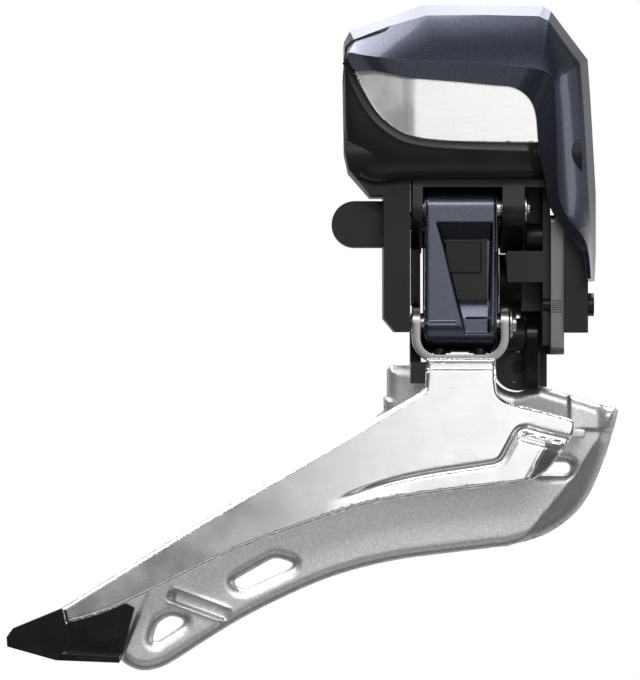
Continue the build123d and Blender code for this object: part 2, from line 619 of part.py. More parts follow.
with BuildPart() as inner_link:
    strap(*INNER_LINK_X, (INNER_TOP, INNER_LOW), (4.2, 2.8))
    rod(INNER_LINK_X[1], BARREL_FRONT, INNER_LOW, 2.7)
    rod(CAGE_REAR_EAR[1] + 0.1, INNER_LINK_X[0], INNER_LOW, 2.7)
    rod(*INNER_LINK_X, INNER_TOP, PIN_R + FIT_GAP, mode=Mode.SUBTRACT)
    rod(CAGE_REAR_EAR[1], BARREL_FRONT, INNER_LOW, BEARING_R + FIT_GAP, mode=Mode.SUBTRACT)
    stub(0.0, -12.0, ADJUST_AT, ADJUST_R + FIT_GAP, mode=Mode.SUBTRACT)

save(inner_link.part, "inner_link")

with BuildPart() as inner_link_bushes:
    for x in (CAGE_REAR_EAR[1] + 0.1, BARREL_FRONT - BUSH_L):
        rod(x, x + BUSH_L, INNER_LOW, BEARING_R)
        rod(x, x + BUSH_L, INNER_LOW, PIN_R + RUNNING_GAP, mode=Mode.SUBTRACT)

save(inner_link_bushes.part, "inner_link_bushes")

with BuildPart() as low_adjust_screw:
    stub(-2.6, -9.6, ADJUST_AT, ADJUST_R)
    hex_socket(ADJUST_AT, -9.6, 1.6, 1.5)

save(low_adjust_screw.part, "low_adjust_screw")

with BuildPart() as output_shaft:
    rod(REAR_LAYER_X, RIGHT_EAR[1] - 0.1, INNER_TOP, PIN_R)

save(output_shaft.part, "output_shaft")

with BuildPart() as output_bushes:
    for x0, x1 in (LEFT_EAR, RIGHT_EAR):
        rod(x0, x1, INNER_TOP, BUSH_R)
        rod(x0, x1, INNER_TOP, PIN_R + RUNNING_GAP, mode=Mode.SUBTRACT)

save(output_bushes.part, "output_bushes")

with BuildPart() as output_seal:
    rod(GEAR_SLOT[1] + 0.05, GEARCASE_FRONT, INNER_TOP, SEAL_R)
    rod(GEAR_SLOT[1] + 0.05, GEARCASE_FRONT, INNER_TOP, PIN_R + RUNNING_GAP, mode=Mode.SUBTRACT)

save(output_seal.part, "output_seal")

CLIP_T = 0.5

with BuildPart() as outer_upper_pin:
    rod(LEFT_EAR[0], RIGHT_EAR[1] + 0.9, OUTER_TOP, PIN_R)

save(outer_upper_pin.part, "outer_upper_pin")

with BuildPart() as upper_pin_clip:
    rod(RIGHT_EAR[1], RIGHT_EAR[1] + CLIP_T, OUTER_TOP, 2.6)
    rod(RIGHT_EAR[1], RIGHT_EAR[1] + CLIP_T, OUTER_TOP, PIN_R + FIT_GAP, mode=Mode.SUBTRACT)

save(upper_pin_clip.part, "upper_pin_clip")

with BuildPart() as lower_outer_pin:
    rod(CAGE_REAR_EAR[0], CAGE_FRONT_EAR[1] + 1.1, OUTER_LOW, PIN_R)

save(lower_outer_pin.part, "lower_outer_pin")

with BuildPart() as lower_pin_clip:
    rod(CAGE_FRONT_EAR[1], CAGE_FRONT_EAR[1] + CLIP_T, OUTER_LOW, 2.5)
    rod(CAGE_FRONT_EAR[1], CAGE_FRONT_EAR[1] + CLIP_T, OUTER_LOW, PIN_R + FIT_GAP, mode=Mode.SUBTRACT)

save(lower_pin_clip.part, "lower_pin_clip")

with BuildPart() as lower_inner_pin:
    rod(CAGE_REAR_EAR[0], INNER_FRONT_EAR[1], INNER_LOW, PIN_R)

save(lower_inner_pin.part, "lower_inner_pin")

# ---------------------------------------------------------------- chain cage

OUTER_IN_Y = OUTER_FACE_Y + OUTER_T
INNER_IN_Y = INNER_FACE_Y + INNER_T
SHELF_Z = (-12.5, -11.1)
SHELF_IN_Y = -11.8
FRONT_RIVET = (-1.6, -22.3)  # X and Z
FRONT_RIVET_R = 0.75
FLAP_RIVETS = (-19.8, -13.4)  # X of the rivets that join the shelf and the hinge bracket

with BuildPart() as outer_plate:
    with BuildSketch(outboard(OUTER_IN_Y)) as face:
        with BuildLine():
            Polyline((-79.6, -53.9), (-80.1, -51.7), (-57.8, -37.8), (-35.9, -25.0), (-22.3, -16.4))
            Polyline((-22.3, -16.4), (-20.9, -15.2), (-20.9, SHELF_Z[1]), (-10.8, SHELF_Z[1]), (-11.0, -16.8))
            Spline((-11.0, -16.8), (-10.0, -18.7), (-4.6, -20.3), (0.8, -21.7), (1.9, -23.1), (-0.7, -27.4),
                   (-2.6, -30.7))
            Spline((-2.6, -30.7), (-6.1, -31.6), (-26.2, -34.1), (-41.2, -38.2), (-57.2, -44.6), (-79.6, -53.9))
        make_face()
    extrude(face.sketch, amount=OUTER_T)
    # The neck is folded inboard into a shelf, with an ear at each end for the outer link's lower pin
    block((CAGE_REAR_EAR[0], CAGE_FRONT_EAR[1]), (OUTER_FACE_Y, SHELF_IN_Y), SHELF_Z)
    for x0, x1 in (CAGE_REAR_EAR, CAGE_FRONT_EAR):
        with BuildSketch(across(x0)) as ear:
            with Locations(OUTER_LOW):
                Circle(3.4)
            with Locations(((OUTER_FACE_Y + SHELF_IN_Y) / 2, (SHELF_Z[0] + SHELF_Z[1]) / 2)):
                Rectangle(SHELF_IN_Y - OUTER_FACE_Y, SHELF_Z[1] - SHELF_Z[0])
            make_hull()
        extrude(ear.sketch, amount=x1 - x0)
        rod(x0, x1, OUTER_LOW, PIN_R + FIT_GAP, mode=Mode.SUBTRACT)
    # A drawn pocket near the front of the plate
    pocket = [(-7.0, -24.4), (-0.9, -25.4), (-3.4, -30.0), (-6.4, -30.2)]
    slab(pocket, OUTER_IN_Y - 1.0, OUTER_FACE_Y, mode=Mode.SUBTRACT)
    for x in FLAP_RIVETS:
        with Locations((x, -14.6, -11.8)):
            Cylinder(SCREW_R + FIT_GAP, 3.0, mode=Mode.SUBTRACT)
    stub(OUTER_IN_Y, OUTER_FACE_Y, FRONT_RIVET, FRONT_RIVET_R + FIT_GAP, mode=Mode.SUBTRACT)

save(outer_plate.part, "outer_plate")

TAIL_R = 1.5

with BuildPart() as inner_plate:
    with BuildSketch(outboard(INNER_IN_Y)) as face:
        with BuildLine():
            Polyline((-71.4, -60.6), (-79.2, -57.0), (-78.0, -53.0), (-58.0, -39.5), (-36.0, -26.5),
                     (-28.1, -20.2))
            Polyline((-28.1, -20.2), (-28.1, -13.0), (-12.5, -13.0), (-10.3, -17.6), (-5.8, -17.6),
                     (-5.8, -16.2))
            Polyline((-5.8, -16.2), (-3.6, -16.2), (7.9, -19.7), (9.4, -20.5))
            Spline((9.4, -20.5), (7.8, -26.1), (5.7, -31.7), (3.2, -36.2), (-1.7, -40.1), (-7.8, -42.2))
            Spline((-7.8, -42.2), (-26.2, -44.4), (-41.2, -48.8), (-51.8, -53.9), (-62.5, -60.8))
            Spline((-62.5, -60.8), (-65.2, -62.3), (-68.4, -62.3), (-71.4, -60.6))
        make_face()
        with BuildLine():
            Polyline((-53.0, -47.7), (-46.5, -44.2), (-43.5, -45.0), (-43.7, -45.7), (-50.8, -49.0),
                     (-52.3, -48.8), close=True)
        make_face(mode=Mode.SUBTRACT)
        with BuildLine():
            Polyline((-65.9, -57.6), (-65.2, -54.7), (-63.2, -53.6), (-61.3, -54.1), (-61.1, -54.9),
                     (-65.5, -57.9), close=True)
        make_face(mode=Mode.SUBTRACT)
        with Locations((-0.35, -29.8)):
            SlotOverall(3.9, 1.8, mode=Mode.SUBTRACT)
    extrude(face.sketch, amount=INNER_T)
    # A tab folded square to the plate carries the front end of the inner link's lower pin
    with BuildSketch(across(INNER_FRONT_EAR[0])) as ear:
        with Locations(INNER_LOW):
            Circle(3.1)
        with Locations((-5.0, -17.2)):
            Rectangle(2.8, 1.6)
        make_hull()
    extrude(ear.sketch, amount=INNER_FRONT_EAR[1] - INNER_FRONT_EAR[0])
    rod(*INNER_FRONT_EAR, INNER_LOW, PIN_R + FIT_GAP, mode=Mode.SUBTRACT)
    # The flange that crosses to the outer plate over the chain, at the front
    block((-4.0, 3.4), (OUTER_IN_Y, INNER_FACE_Y), (-24.6, -23.3))
    block((-4.0, 0.4), (OUTER_IN_Y, OUTER_IN_Y + 1.2), (-24.6, -21.3))
    stub(OUTER_IN_Y + 1.2, OUTER_IN_Y, FRONT_RIVET, FRONT_RIVET_R + FIT_GAP, mode=Mode.SUBTRACT)
    stub(INNER_IN_Y, INNER_FACE_Y, TAIL_AT, TAIL_R + FIT_GAP, mode=Mode.SUBTRACT)
    for x in FLAP_RIVETS:
        stub(INNER_IN_Y, INNER_FACE_Y, (x, -14.5), SCREW_R + FIT_GAP, mode=Mode.SUBTRACT)

save(inner_plate.part, "inner_plate")

with BuildPart() as hinge_bracket:
    block((CAGE_REAR_EAR[0], CAGE_FRONT_EAR[1] - 2.4), (OUTER_IN_Y, INNER_FACE_Y), (-15.9, SHELF_Z[0]))
    with BuildSketch(across(CAGE_REAR_EAR[0])) as ear:
        with Locations(INNER_LOW):
            Circle(3.1)
        with Locations((-7.9, -12.8)):
            Rectangle(4.0, 1.6)
        make_hull()
    extrude(ear.sketch, amount=CAGE_REAR_EAR[1] - CAGE_REAR_EAR[0])
    rod(*CAGE_REAR_EAR, INNER_LOW, PIN_R + FIT_GAP, mode=Mode.SUBTRACT)
    for x in FLAP_RIVETS:
        with Locations((x, -14.6, -14.0)):
            Cylinder(SCREW_R + FIT_GAP, 3.0, mode=Mode.SUBTRACT)
        stub(INNER_FACE_Y, INNER_FACE_Y - 3.0, (x, -14.5), SCREW_R + FIT_GAP, mode=Mode.SUBTRACT)

save(hinge_bracket.part, "hinge_bracket")

with BuildPart() as bracket_rivets:
    for x in FLAP_RIVETS:
        with Locations((x, -14.6, -13.2)):
            Cylinder(SCREW_R, 4.2)
        with Locations((x, -14.6, SHELF_Z[1] + 0.35)):
            Cylinder(1.8, 0.7)
        stub(INNER_IN_Y, INNER_FACE_Y - 2.9, (x, -14.5), SCREW_R)
        stub(INNER_IN_Y + 0.6, INNER_IN_Y, (x, -14.5), 1.8)

save(bracket_rivets.part, "bracket_rivets")

with BuildPart() as front_rivet:
    stub(OUTER_IN_Y + 1.2, OUTER_FACE_Y, FRONT_RIVET, FRONT_RIVET_R)
    stub(OUTER_IN_Y + 1.6, OUTER_IN_Y + 1.2, FRONT_RIVET, FRONT_RIVET_R + 0.25)

save(front_rivet.part, "front_rivet")

# The black tail closes the cage behind the chain
TAIL_BEND = [
    (-80.1, -51.7), (-87.9, -54.9), (-88.9, -56.3), (-88.8, -57.8),
    (-81.0, -60.0), (-78.2, -57.0), (-79.6, -53.9),
]
TAIL_FLANGE_Y = INNER_FACE_Y - 1.4

with BuildPart() as tail_bridge:
    slab(TAIL_BEND, OUTER_IN_Y, OUTER_FACE_Y)
    floor = [(-88.6, -57.9), (-81.0, -60.1), (-71.0, -60.5), (-71.0, -59.5), (-81.0, -59.0), (-88.3, -56.9)]
    slab(floor, TAIL_FLANGE_Y, OUTER_IN_Y)
    flange = [(-79.9, -57.0), (-79.8, -53.2), (-73.5, -49.9), (-68.9, -52.2), (-71.0, -60.3), (-81.0, -59.8)]
    slab(flange, INNER_FACE_Y, TAIL_FLANGE_Y)
    stub(TAIL_FLANGE_Y, TAIL_FLANGE_Y - 0.9, TAIL_AT, 3.7)
    stub(INNER_FACE_Y, TAIL_FLANGE_Y - 0.9, TAIL_AT, TAIL_R + FIT_GAP, mode=Mode.SUBTRACT)

save(tail_bridge.part, "tail_bridge")

with BuildPart() as tail_rivet:
    stub(INNER_IN_Y, TAIL_FLANGE_Y - 0.9, TAIL_AT, TAIL_R)
    stub(TAIL_FLANGE_Y - 0.9, TAIL_FLANGE_Y - 1.7, TAIL_AT, 2.9)
    stub(INNER_IN_Y + 0.7, INNER_IN_Y, TAIL_AT, 2.4)

save(tail_rivet.part, "tail_rivet")

# ---------------------------------------------------------------- support bolt

with BuildPart() as support_bolt:
    stub(POST_IN_Y + 0.6, LUG_OUT_Y, SUPPORT_AT, SUPPORT_R)
    hex_socket(SUPPORT_AT, LUG_OUT_Y, 2.2, 2.0)

save(support_bolt.part, "support_bolt")
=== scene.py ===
"""Looks for the front derailleur.

Lengths are in millimetres, with X forwards, Y inboard and Z up, as in the CAD. They are scaled to metres
when a mesh, a lamp or the camera is made.
"""

import bpy
import json
import math
import numpy as np
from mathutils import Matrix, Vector
from mathutils.geometry import delaunay_2d_cdt


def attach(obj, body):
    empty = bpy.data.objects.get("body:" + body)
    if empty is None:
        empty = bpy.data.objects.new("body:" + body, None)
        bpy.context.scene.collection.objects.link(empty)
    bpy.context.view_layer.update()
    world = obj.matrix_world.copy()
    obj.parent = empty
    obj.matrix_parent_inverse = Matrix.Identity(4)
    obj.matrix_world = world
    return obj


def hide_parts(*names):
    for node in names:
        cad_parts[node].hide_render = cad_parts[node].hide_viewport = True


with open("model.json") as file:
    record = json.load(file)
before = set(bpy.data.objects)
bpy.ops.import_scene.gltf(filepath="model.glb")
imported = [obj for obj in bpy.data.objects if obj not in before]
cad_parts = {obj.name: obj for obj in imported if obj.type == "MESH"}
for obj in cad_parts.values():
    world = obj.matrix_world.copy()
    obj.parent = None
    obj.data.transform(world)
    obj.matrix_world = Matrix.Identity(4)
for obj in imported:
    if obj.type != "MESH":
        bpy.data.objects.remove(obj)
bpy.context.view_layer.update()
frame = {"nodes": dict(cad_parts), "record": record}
nodes = frame["nodes"]
scene = bpy.context.scene
MM = 0.001

# ---------------------------------------------------------------- materials


def new_material(name, colour, roughness, metallic=0.0, coat=0.0, coat_roughness=0.05, specular=0.5):
    """A material with its node tree emptied to one Principled shader, which is returned with it."""
    material = bpy.data.materials.new(name)
    material.use_nodes = True
    shader = material.node_tree.nodes["Principled BSDF"]
    shader.inputs["Base Color"].default_value = (*colour, 1.0)
    shader.inputs["Roughness"].default_value = roughness
    shader.inputs["Metallic"].default_value = metallic
    shader.inputs["Coat Weight"].default_value = coat
    shader.inputs["Coat Roughness"].default_value = coat_roughness
    shader.inputs["Specular IOR Level"].default_value = specular
    return material, shader


def noise(material, scale, detail=2.0, stretch=(1.0, 1.0, 1.0), kind="NOISE"):
    """A noise value in object space, with scale in features per millimetre.

    Stretch below 1 draws the features out along that axis.
    """
    tree = material.node_tree
    place = tree.nodes.new("ShaderNodeTexCoord")
    mapping = tree.nodes.new("ShaderNodeMapping")
    mapping.inputs["Scale"].default_value = [1000.0 * s for s in stretch]
    tree.links.new(place.outputs["Object"], mapping.inputs["Vector"])
    if kind == "VORONOI":
        texture = tree.nodes.new("ShaderNodeTexVoronoi")
        texture.inputs["Scale"].default_value = scale
        tree.links.new(mapping.outputs["Vector"], texture.inputs["Vector"])
        return texture.outputs["Color"]
    texture = tree.nodes.new("ShaderNodeTexNoise")
    texture.inputs["Scale"].default_value = scale
    texture.inputs["Detail"].default_value = detail
    tree.links.new(mapping.outputs["Vector"], texture.inputs["Vector"])
    return texture.outputs["Fac"]


def bump(material, shader, height, strength, distance, after=None):
    """Drives the shader's normal from a height, and returns the bump node, so that another can follow it."""
    node = material.node_tree.nodes.new("ShaderNodeBump")
    node.inputs["Strength"].default_value = strength
    node.inputs["Distance"].default_value = distance * MM
    material.node_tree.links.new(height, node.inputs["Height"])
    if after is not None:
        material.node_tree.links.new(after.outputs["Normal"], node.inputs["Normal"])
    material.node_tree.links.new(node.outputs["Normal"], shader.inputs["Normal"])
    return node


def ramp(material, value, stops):
    """A colour ramp on a value. Stops are (position, (r, g, b))."""
    node = material.node_tree.nodes.new("ShaderNodeValToRGB")
    for _ in range(len(stops) - 2):
        node.color_ramp.elements.new(0.5)
    for element, (position, colour) in zip(node.color_ramp.elements, stops):
        element.position = position
        element.color = (*colour, 1.0)
    material.node_tree.links.new(value, node.inputs["Fac"])
    return node.outputs["Color"]


def spread(material, value, low, high, out_low, out_high):
    """Maps a value from low..high to out_low..out_high."""
    node = material.node_tree.nodes.new("ShaderNodeMapRange")
    for key, number in (("From Min", low), ("From Max", high), ("To Min", out_low), ("To Max", out_high)):
        node.inputs[key].default_value = number
    material.node_tree.links.new(value, node.inputs["Value"])
    return node.outputs["Result"]


def grey(value):
    """A colour without hue."""
    return (value, value, value)


def scaled(colour, factor):
    """A lighter or darker shade of a colour."""
    return tuple(factor * channel for channel in colour)


def metallic_paint(name, dark, light):
    """Gloss paint with fine metal flake under a clear coat."""
    material, shader = new_material(name, dark, 0.34, metallic=1.0, coat=0.6, coat_roughness=0.08)
    flake = noise(material, 9.0, kind="VORONOI")
    separate = material.node_tree.nodes.new("ShaderNodeSeparateColor")
    material.node_tree.links.new(flake, separate.inputs["Color"])
    colour = ramp(material, separate.outputs["Red"], [(0.0, dark), (0.75, dark), (1.0, light)])
    material.node_tree.links.new(colour, shader.inputs["Base Color"])
    fine = bump(material, shader, separate.outputs["Green"], 0.10, 0.02)
    bump(material, shader, noise(material, 0.35, 1.0), 0.05, 0.05, after=fine)
    return material


def moulded(name, colour, roughness, grain=2.2, strength=0.35):
    """Textured moulded plastic or a satin black coating."""
    material, shader = new_material(name, colour, roughness, specular=0.3)
    patch = noise(material, 0.12, 3.0)
    tone = ramp(material, patch, [(0.3, scaled(colour, 0.85)), (0.7, scaled(colour, 1.25))])
    material.node_tree.links.new(tone, shader.inputs["Base Color"])
    grains = noise(material, grain, 3.0)
    bump(material, shader, grains, strength, 0.03)
    worn = spread(material, patch, 0.3, 0.7, roughness - 0.06, roughness + 0.06)
    material.node_tree.links.new(worn, shader.inputs["Roughness"])
    return material


def brushed(name, colour, roughness, stretch=(1.0, 1.0, 1.0), strength=0.12, scale=4.0):
    """Bare metal with a fine grain drawn out along one axis."""
    material, shader = new_material(name, colour, roughness, metallic=1.0)
    grain = noise(material, scale, 3.0, stretch)
    bump(material, shader, grain, strength, 0.02)
    tone = ramp(material, grain, [(0.3, scaled(colour, 0.97)), (0.7, scaled(colour, 1.02))])
    material.node_tree.links.new(tone, shader.inputs["Base Color"])
    worn = spread(material, noise(material, 0.2, 2.0), 0.3, 0.7, roughness - 0.03, roughness + 0.04)
    material.node_tree.links.new(worn, shader.inputs["Roughness"])
    return material


def blasted(name, dark, light, roughness):
    """Blasted and clear-coated metal: a fine sparkle of light grains on grey."""
    material, shader = new_material(name, dark, roughness, metallic=0.9)
    grain = noise(material, 5.0, kind="VORONOI")
    separate = material.node_tree.nodes.new("ShaderNodeSeparateColor")
    material.node_tree.links.new(grain, separate.inputs["Color"])
    colour = ramp(material, separate.outputs["Red"], [(0.0, dark), (0.55, dark), (1.0, light)])
    material.node_tree.links.new(colour, shader.inputs["Base Color"])
    coarse = bump(material, shader, separate.outputs["Green"], 0.35, 0.03)
    bump(material, shader, noise(material, 1.6, 3.0), 0.15, 0.05, after=coarse)
    return material


navy = metallic_paint("navy_paint", (0.060, 0.066, 0.092), (0.10, 0.11, 0.15))
black_resin = moulded("black_resin", grey(0.010), 0.5)
black_alloy = moulded("black_alloy", grey(0.012), 0.38, grain=1.4, strength=0.2)
dark_screw = moulded("dark_screw", grey(0.010), 0.34, grain=3.0, strength=0.1)
seal_rubber = moulded("seal_rubber", grey(0.02), 0.7, grain=3.0)
polished = brushed("polished_alloy", grey(0.84), 0.25, stretch=(0.05, 1.0, 1.0), strength=0.003, scale=3.0)
panel_metal = brushed("panel_metal", grey(0.72), 0.27, stretch=(0.1, 1.0, 1.0), strength=0.002, scale=4.0)
plate_edge = brushed("plate_edge", grey(0.16), 0.34, stretch=(1.0, 1.0, 0.3), strength=0.1)
satin_steel = blasted("satin_steel", grey(0.6), grey(0.76), 0.38)
bare_steel = brushed("bare_steel", grey(0.62), 0.28, stretch=(1.0, 1.0, 0.3), strength=0.15)
gloss_black = moulded("gloss_black", grey(0.006), 0.24, grain=0.8, strength=0.05)
# A darker copy of the polished alloy, for the yoke that folds from the same outer plate: painted shade.
shaded_yoke_alloy = brushed("shaded_yoke_alloy", grey(0.28), 0.28, stretch=(1.0, 0.2, 1.0), strength=0.01)
smooth_resin = moulded("smooth_resin", grey(0.012), 0.33, grain=3.0, strength=0.08)
brass = brushed("brass", (0.70, 0.52, 0.25), 0.30)
copper = brushed("copper_winding", (0.62, 0.26, 0.12), 0.38, stretch=(1.0, 0.1, 1.0), strength=0.4)
board = moulded("board_green", (0.010, 0.10, 0.035), 0.35, grain=0.8, strength=0.1)

BY_SLOT = {
    "black_alloy": black_alloy,
    "black_metal": gloss_black,
    "black_resin": black_resin,
    "bare_steel": bare_steel,
    "board_green": board,
    "chip_black": black_resin,
    "contact_brass": brass,
    "copper_winding": copper,
    "dark_screw": dark_screw,
    "gasket_rubber": seal_rubber,
    "painted_hood": navy,
    "painted_link": navy,
    "panel_metal": panel_metal,
    "polished_alloy": polished,
    "satin_steel": satin_steel,
}
# Nodes whose finish differs from the rest of their slot
OWN_LOOK = {
    "tail_rivet": gloss_black,
    "mounting_plate": plate_edge,
    # The hinge bracket is black partly for its own black finish and partly as painted shade where it lies in
    # shadow under the yoke.
    "hinge_bracket": black_alloy,
    "bracket_rivets": gloss_black,
}
# Width of the softened edges of the larger nodes
SOFT_EDGE = {
    "motor_housing": 0.7,
    "base_bracket": 0.45,
    "mounting_plate": 0.25,
    "tail_bridge": 0.35,
    "hinge_bracket": 0.25,
}
SMALL_SOFT_EDGE = 0.15  # on every other node
WELD_DISTANCE = 0.001
slot_of = {entry["node"]: entry["material_slot"] for entry in frame["record"]["subparts"]}
for name, node in nodes.items():
    node.data.materials.clear()
    node.data.materials.append(OWN_LOOK.get(name, BY_SLOT[slot_of[name]]))
    weld = node.modifiers.new("weld", "WELD")
    weld.merge_threshold = WELD_DISTANCE * MM
    soft = node.modifiers.new("soft_edges", "BEVEL")
    soft.width = SOFT_EDGE.get(name, SMALL_SOFT_EDGE) * MM
    soft.segments = 3
    soft.limit_method = "ANGLE"
    soft.angle_limit = math.radians(35)
    soft.harden_normals = True

# ---------------------------------------------------------------- mesh tools


def add_piece(name, points, faces, material, normals=None):
    """Makes a smooth object from points in millimetres. Normals, if given, are one for each point."""
    mesh = bpy.data.meshes.new(name)
    mesh.from_pydata([tuple(MM * c for c in point) for point in points], [], faces)
    mesh.materials.append(material)
    for polygon in mesh.polygons:
        polygon.use_smooth = True
    if normals is None:
        mesh.validate()
    else:
        unit = [tuple(Vector(normal).normalized()) for normal in normals]
        mesh.normals_split_custom_set_from_vertices(unit)
    piece = bpy.data.objects.new(name, mesh)
    scene.collection.objects.link(piece)
    return piece


def apply_modifier(piece, kind, **settings):
    """Adds a modifier and applies it."""
    modifier = piece.modifiers.new(kind.lower(), kind)
    for key, value in settings.items():
        setattr(modifier, key, value)
    with bpy.context.temp_override(object=piece, active_object=piece, selected_objects=[piece]):
        bpy.ops.object.modifier_apply(modifier=modifier.name)


def soften(piece, width, segments, angle):
    """Rounds the edges that are sharper than an angle in degrees."""
    settings = {"segments": segments, "limit_method": "ANGLE", "angle_limit": math.radians(angle)}
    apply_modifier(piece, "BEVEL", width=width * MM, **settings)


def stand_for(piece, body, slot, *replaced):
    """Ties a piece to its body, and hides the CAD nodes that it replaces. The slot is not used."""
    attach(piece, body)
    if replaced:
        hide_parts(*replaced)


def flow(points, per_span=8):
    """A smooth Catmull-Rom curve through the points."""
    padded = [points[0]] + list(points) + [points[-1]]
    out = []
    for a, b, c, d in zip(padded, padded[1:], padded[2:], padded[3:]):
        a, b, c, d = (np.array(p, float) for p in (a, b, c, d))
        slope, curve, twist = c - a, 2 * a - 5 * b + 4 * c - d, 3 * b - a - 3 * c + d
        for step in range(per_span):
            t = step / per_span
            out.append(tuple(0.5 * (2 * b + slope * t + curve * t**2 + twist * t**3)))
    out.append(tuple(float(v) for v in points[-1]))
    return out


def divide(a, b, count):
    """The points that divide a straight line into equal parts, from a up to the one before b."""
    return [(a[0] + (b[0] - a[0]) * i / count, a[1] + (b[1] - a[1]) * i / count) for i in range(count)]


def thicken(points, longest=0.7):
    """Adds points along the straight stretches of a closed outline."""
    out = []
    for a, b in zip(points, points[1:] + points[:1]):
        out += divide(a, b, max(1, int(math.dist(a, b) / longest)))
    return out


def along_line(points, spacing):
    """Evenly spaced points along an open polyline."""
    points = np.array(points, float)
    lengths = np.concatenate([[0.0], np.cumsum(np.hypot(*np.diff(points, axis=0).T))])
    at = np.linspace(0.0, lengths[-1], max(2, int(lengths[-1] / spacing) + 1))
    return np.stack([np.interp(at, lengths, points[:, 0]), np.interp(at, lengths, points[:, 1])], axis=1)


def prism(name, outline, x0, x1, material, bevel=0.3):
    """A solid with its outline (Y, Z) in the side view, from x0 to x1, with softened edges."""
    count = len(outline)
    points = [(x, y, z) for x in (x0, x1) for y, z in outline]
    faces = [tuple(range(count))[::-1], tuple(range(count, 2 * count))]
    faces += [(i, (i + 1) % count, count + (i + 1) % count, count + i) for i in range(count)]
    piece = add_piece(name, points, faces, material)
    soften(piece, bevel, 3, 40)
    apply_modifier(piece, "WEIGHTED_NORMAL", keep_sharp=False)
    return piece


def soft_block(name, x, y, z, material, bevel=0.3):
    """A box with softened edges, from its limits along each axis."""
    return prism(name, [(y[0], z[0]), (y[1], z[0]), (y[1], z[1]), (y[0], z[1])], x[0], x[1], material, bevel)


def join_rows(rows, across):
    """The four-sided faces between neighbouring rows of points."""
    faces = []
    for row in range(rows - 1):
        for i in range(across - 1):
            a = row * across + i
            faces.append((a, a + across, a + across + 1, a + 1))
    return faces


def lofted(name, lines, material, thickness=0.0, bevel=0.0, rounds=0):
    """A skin over lines of (X, Y, Z) points that all have the same number of points."""
    points = [point for line in lines for point in line]
    piece = add_piece(name, points, join_rows(len(lines), len(lines[0])), material)
    if rounds:
        apply_modifier(piece, "SUBSURF", levels=rounds, render_levels=rounds)
    if thickness:
        apply_modifier(piece, "SOLIDIFY", thickness=thickness * MM, offset=-1.0)
    if bevel:
        soften(piece, bevel, 4, 9)
        apply_modifier(piece, "WEIGHTED_NORMAL", keep_sharp=False)
    return piece


def round_corners(points, radius, steps=5):
    """Rounds each corner of a closed outline with an arc-like curve that starts radius away from it."""
    out = []
    for before, corner, after in zip(points[-1:] + points[:-1], points, points[1:] + points[:1]):
        before, corner, after = (np.array(p, float) for p in (before, corner, after))
        back = min(radius, np.linalg.norm(before - corner) * 0.45)
        on = min(radius, np.linalg.norm(after - corner) * 0.45)
        start = corner + (before - corner) / np.linalg.norm(before - corner) * back
        end = corner + (after - corner) / np.linalg.norm(after - corner) * on
        for step in range(steps + 1):
            t = step / steps
            out.append(tuple((1 - t) ** 2 * start + 2 * t * (1 - t) * corner + t**2 * end))
    return out


def distance_to(points, line, closed=False):
    """How far each of the points (an N by 2 array) is from a polyline."""
    line = np.array(line, float)
    starts = line if closed else line[:-1]
    ends = np.roll(line, -1, axis=0) if closed else line[1:]
    best = np.full(len(points), 1e9)
    for a, b in zip(starts, ends):
        along = b - a
        length = max(1e-9, along @ along)
        t = np.clip(((points - a) @ along) / length, 0, 1)
        best = np.minimum(best, np.hypot(*(points - a - t[:, None] * along).T))
    return best


def inside(points, outline):
    """Whether each point lies inside a closed outline."""
    result = np.zeros(len(points), bool)
    x, z = points[:, 0], points[:, 1]
    for (ax, az), (bx, bz) in zip(outline, outline[1:] + outline[:1]):
        crosses = (az > z) != (bz > z)
        with np.errstate(divide="ignore", invalid="ignore"):
            at = (bx - ax) * (z - az) / (bz - az) + ax
        result ^= crosses & (x < at)
    return result


def smooth_step(value, low, high):
    """0 below low, 1 above high, and a smooth rise between."""
    t = np.clip((value - low) / (high - low), 0, 1)
    return t * t * (3 - 2 * t)


def side_of(points, a, b):
    """Distance to the left of the line from a to b, negative on its right."""
    a, b = np.array(a, float), np.array(b, float)
    along = (b - a) / np.linalg.norm(b - a)
    return (points - a) @ np.array([-along[1], along[0]])


def inward_ring(outline, distance):
    """The outline's points moved inwards. The outline runs either way round."""
    points = np.array(outline, float)
    before, after = np.roll(points, 1, axis=0), np.roll(points, -1, axis=0)
    along = after - before
    normal = np.stack([-along[:, 1], along[:, 0]], axis=1)
    normal /= np.maximum(1e-9, np.linalg.norm(normal, axis=1))[:, None]
    area = np.sum(points[:, 0] * after[:, 1] - after[:, 0] * points[:, 1])
    return points + normal * distance * (1 if area > 0 else -1)


GUIDE_CLEAR = 0.75  # the grid keeps this far from a crease
GUIDE_STEP = 0.35  # along a crease
GUIDE_ROWS = (-0.6, -0.3, 0.0, 0.3, 0.6)  # and to each side of it
RING_ROWS = (0.06, 0.2, 0.42, 0.7, 1.0)  # fractions of the rim's width
EDGE_CLEAR = 0.035
ROW_PITCH = 0.866  # height of a triangle with equal sides


def mesh_points(edges, guides, rim_width, step):
    """The free points of a flat mesh: a grid, rows beside each guide, and rings inside the edges."""
    low, high = np.min(edges[0], axis=0), np.max(edges[0], axis=0)
    xs, zs = np.arange(low[0], high[0], step), np.arange(low[1], high[1], step * ROW_PITCH)
    free = np.array([(x + (0.5 * step if row % 2 else 0), z) for row, z in enumerate(zs) for x in xs])
    for line in guides:
        free = free[distance_to(free, line) > GUIDE_CLEAR]
    for line in guides:
        row = along_line(line, GUIDE_STEP)
        slope = np.gradient(row, axis=0)
        sideways = np.stack([-slope[:, 1], slope[:, 0]], axis=1) / np.hypot(*slope.T)[:, None]
        for offset in GUIDE_ROWS:
            free = np.vstack([free, row + sideways * offset])
    for fraction in RING_ROWS:
        for edge in edges:
            side = 1 if edge is edges[0] else -1
            free = np.vstack([free, inward_ring(edge, side * fraction * rim_width)])
    return free


def distance_to_edges(points, edges):
    """How far each point is from the nearest of several closed outlines."""
    return np.min([distance_to(points, edge, closed=True) for edge in edges], axis=0)


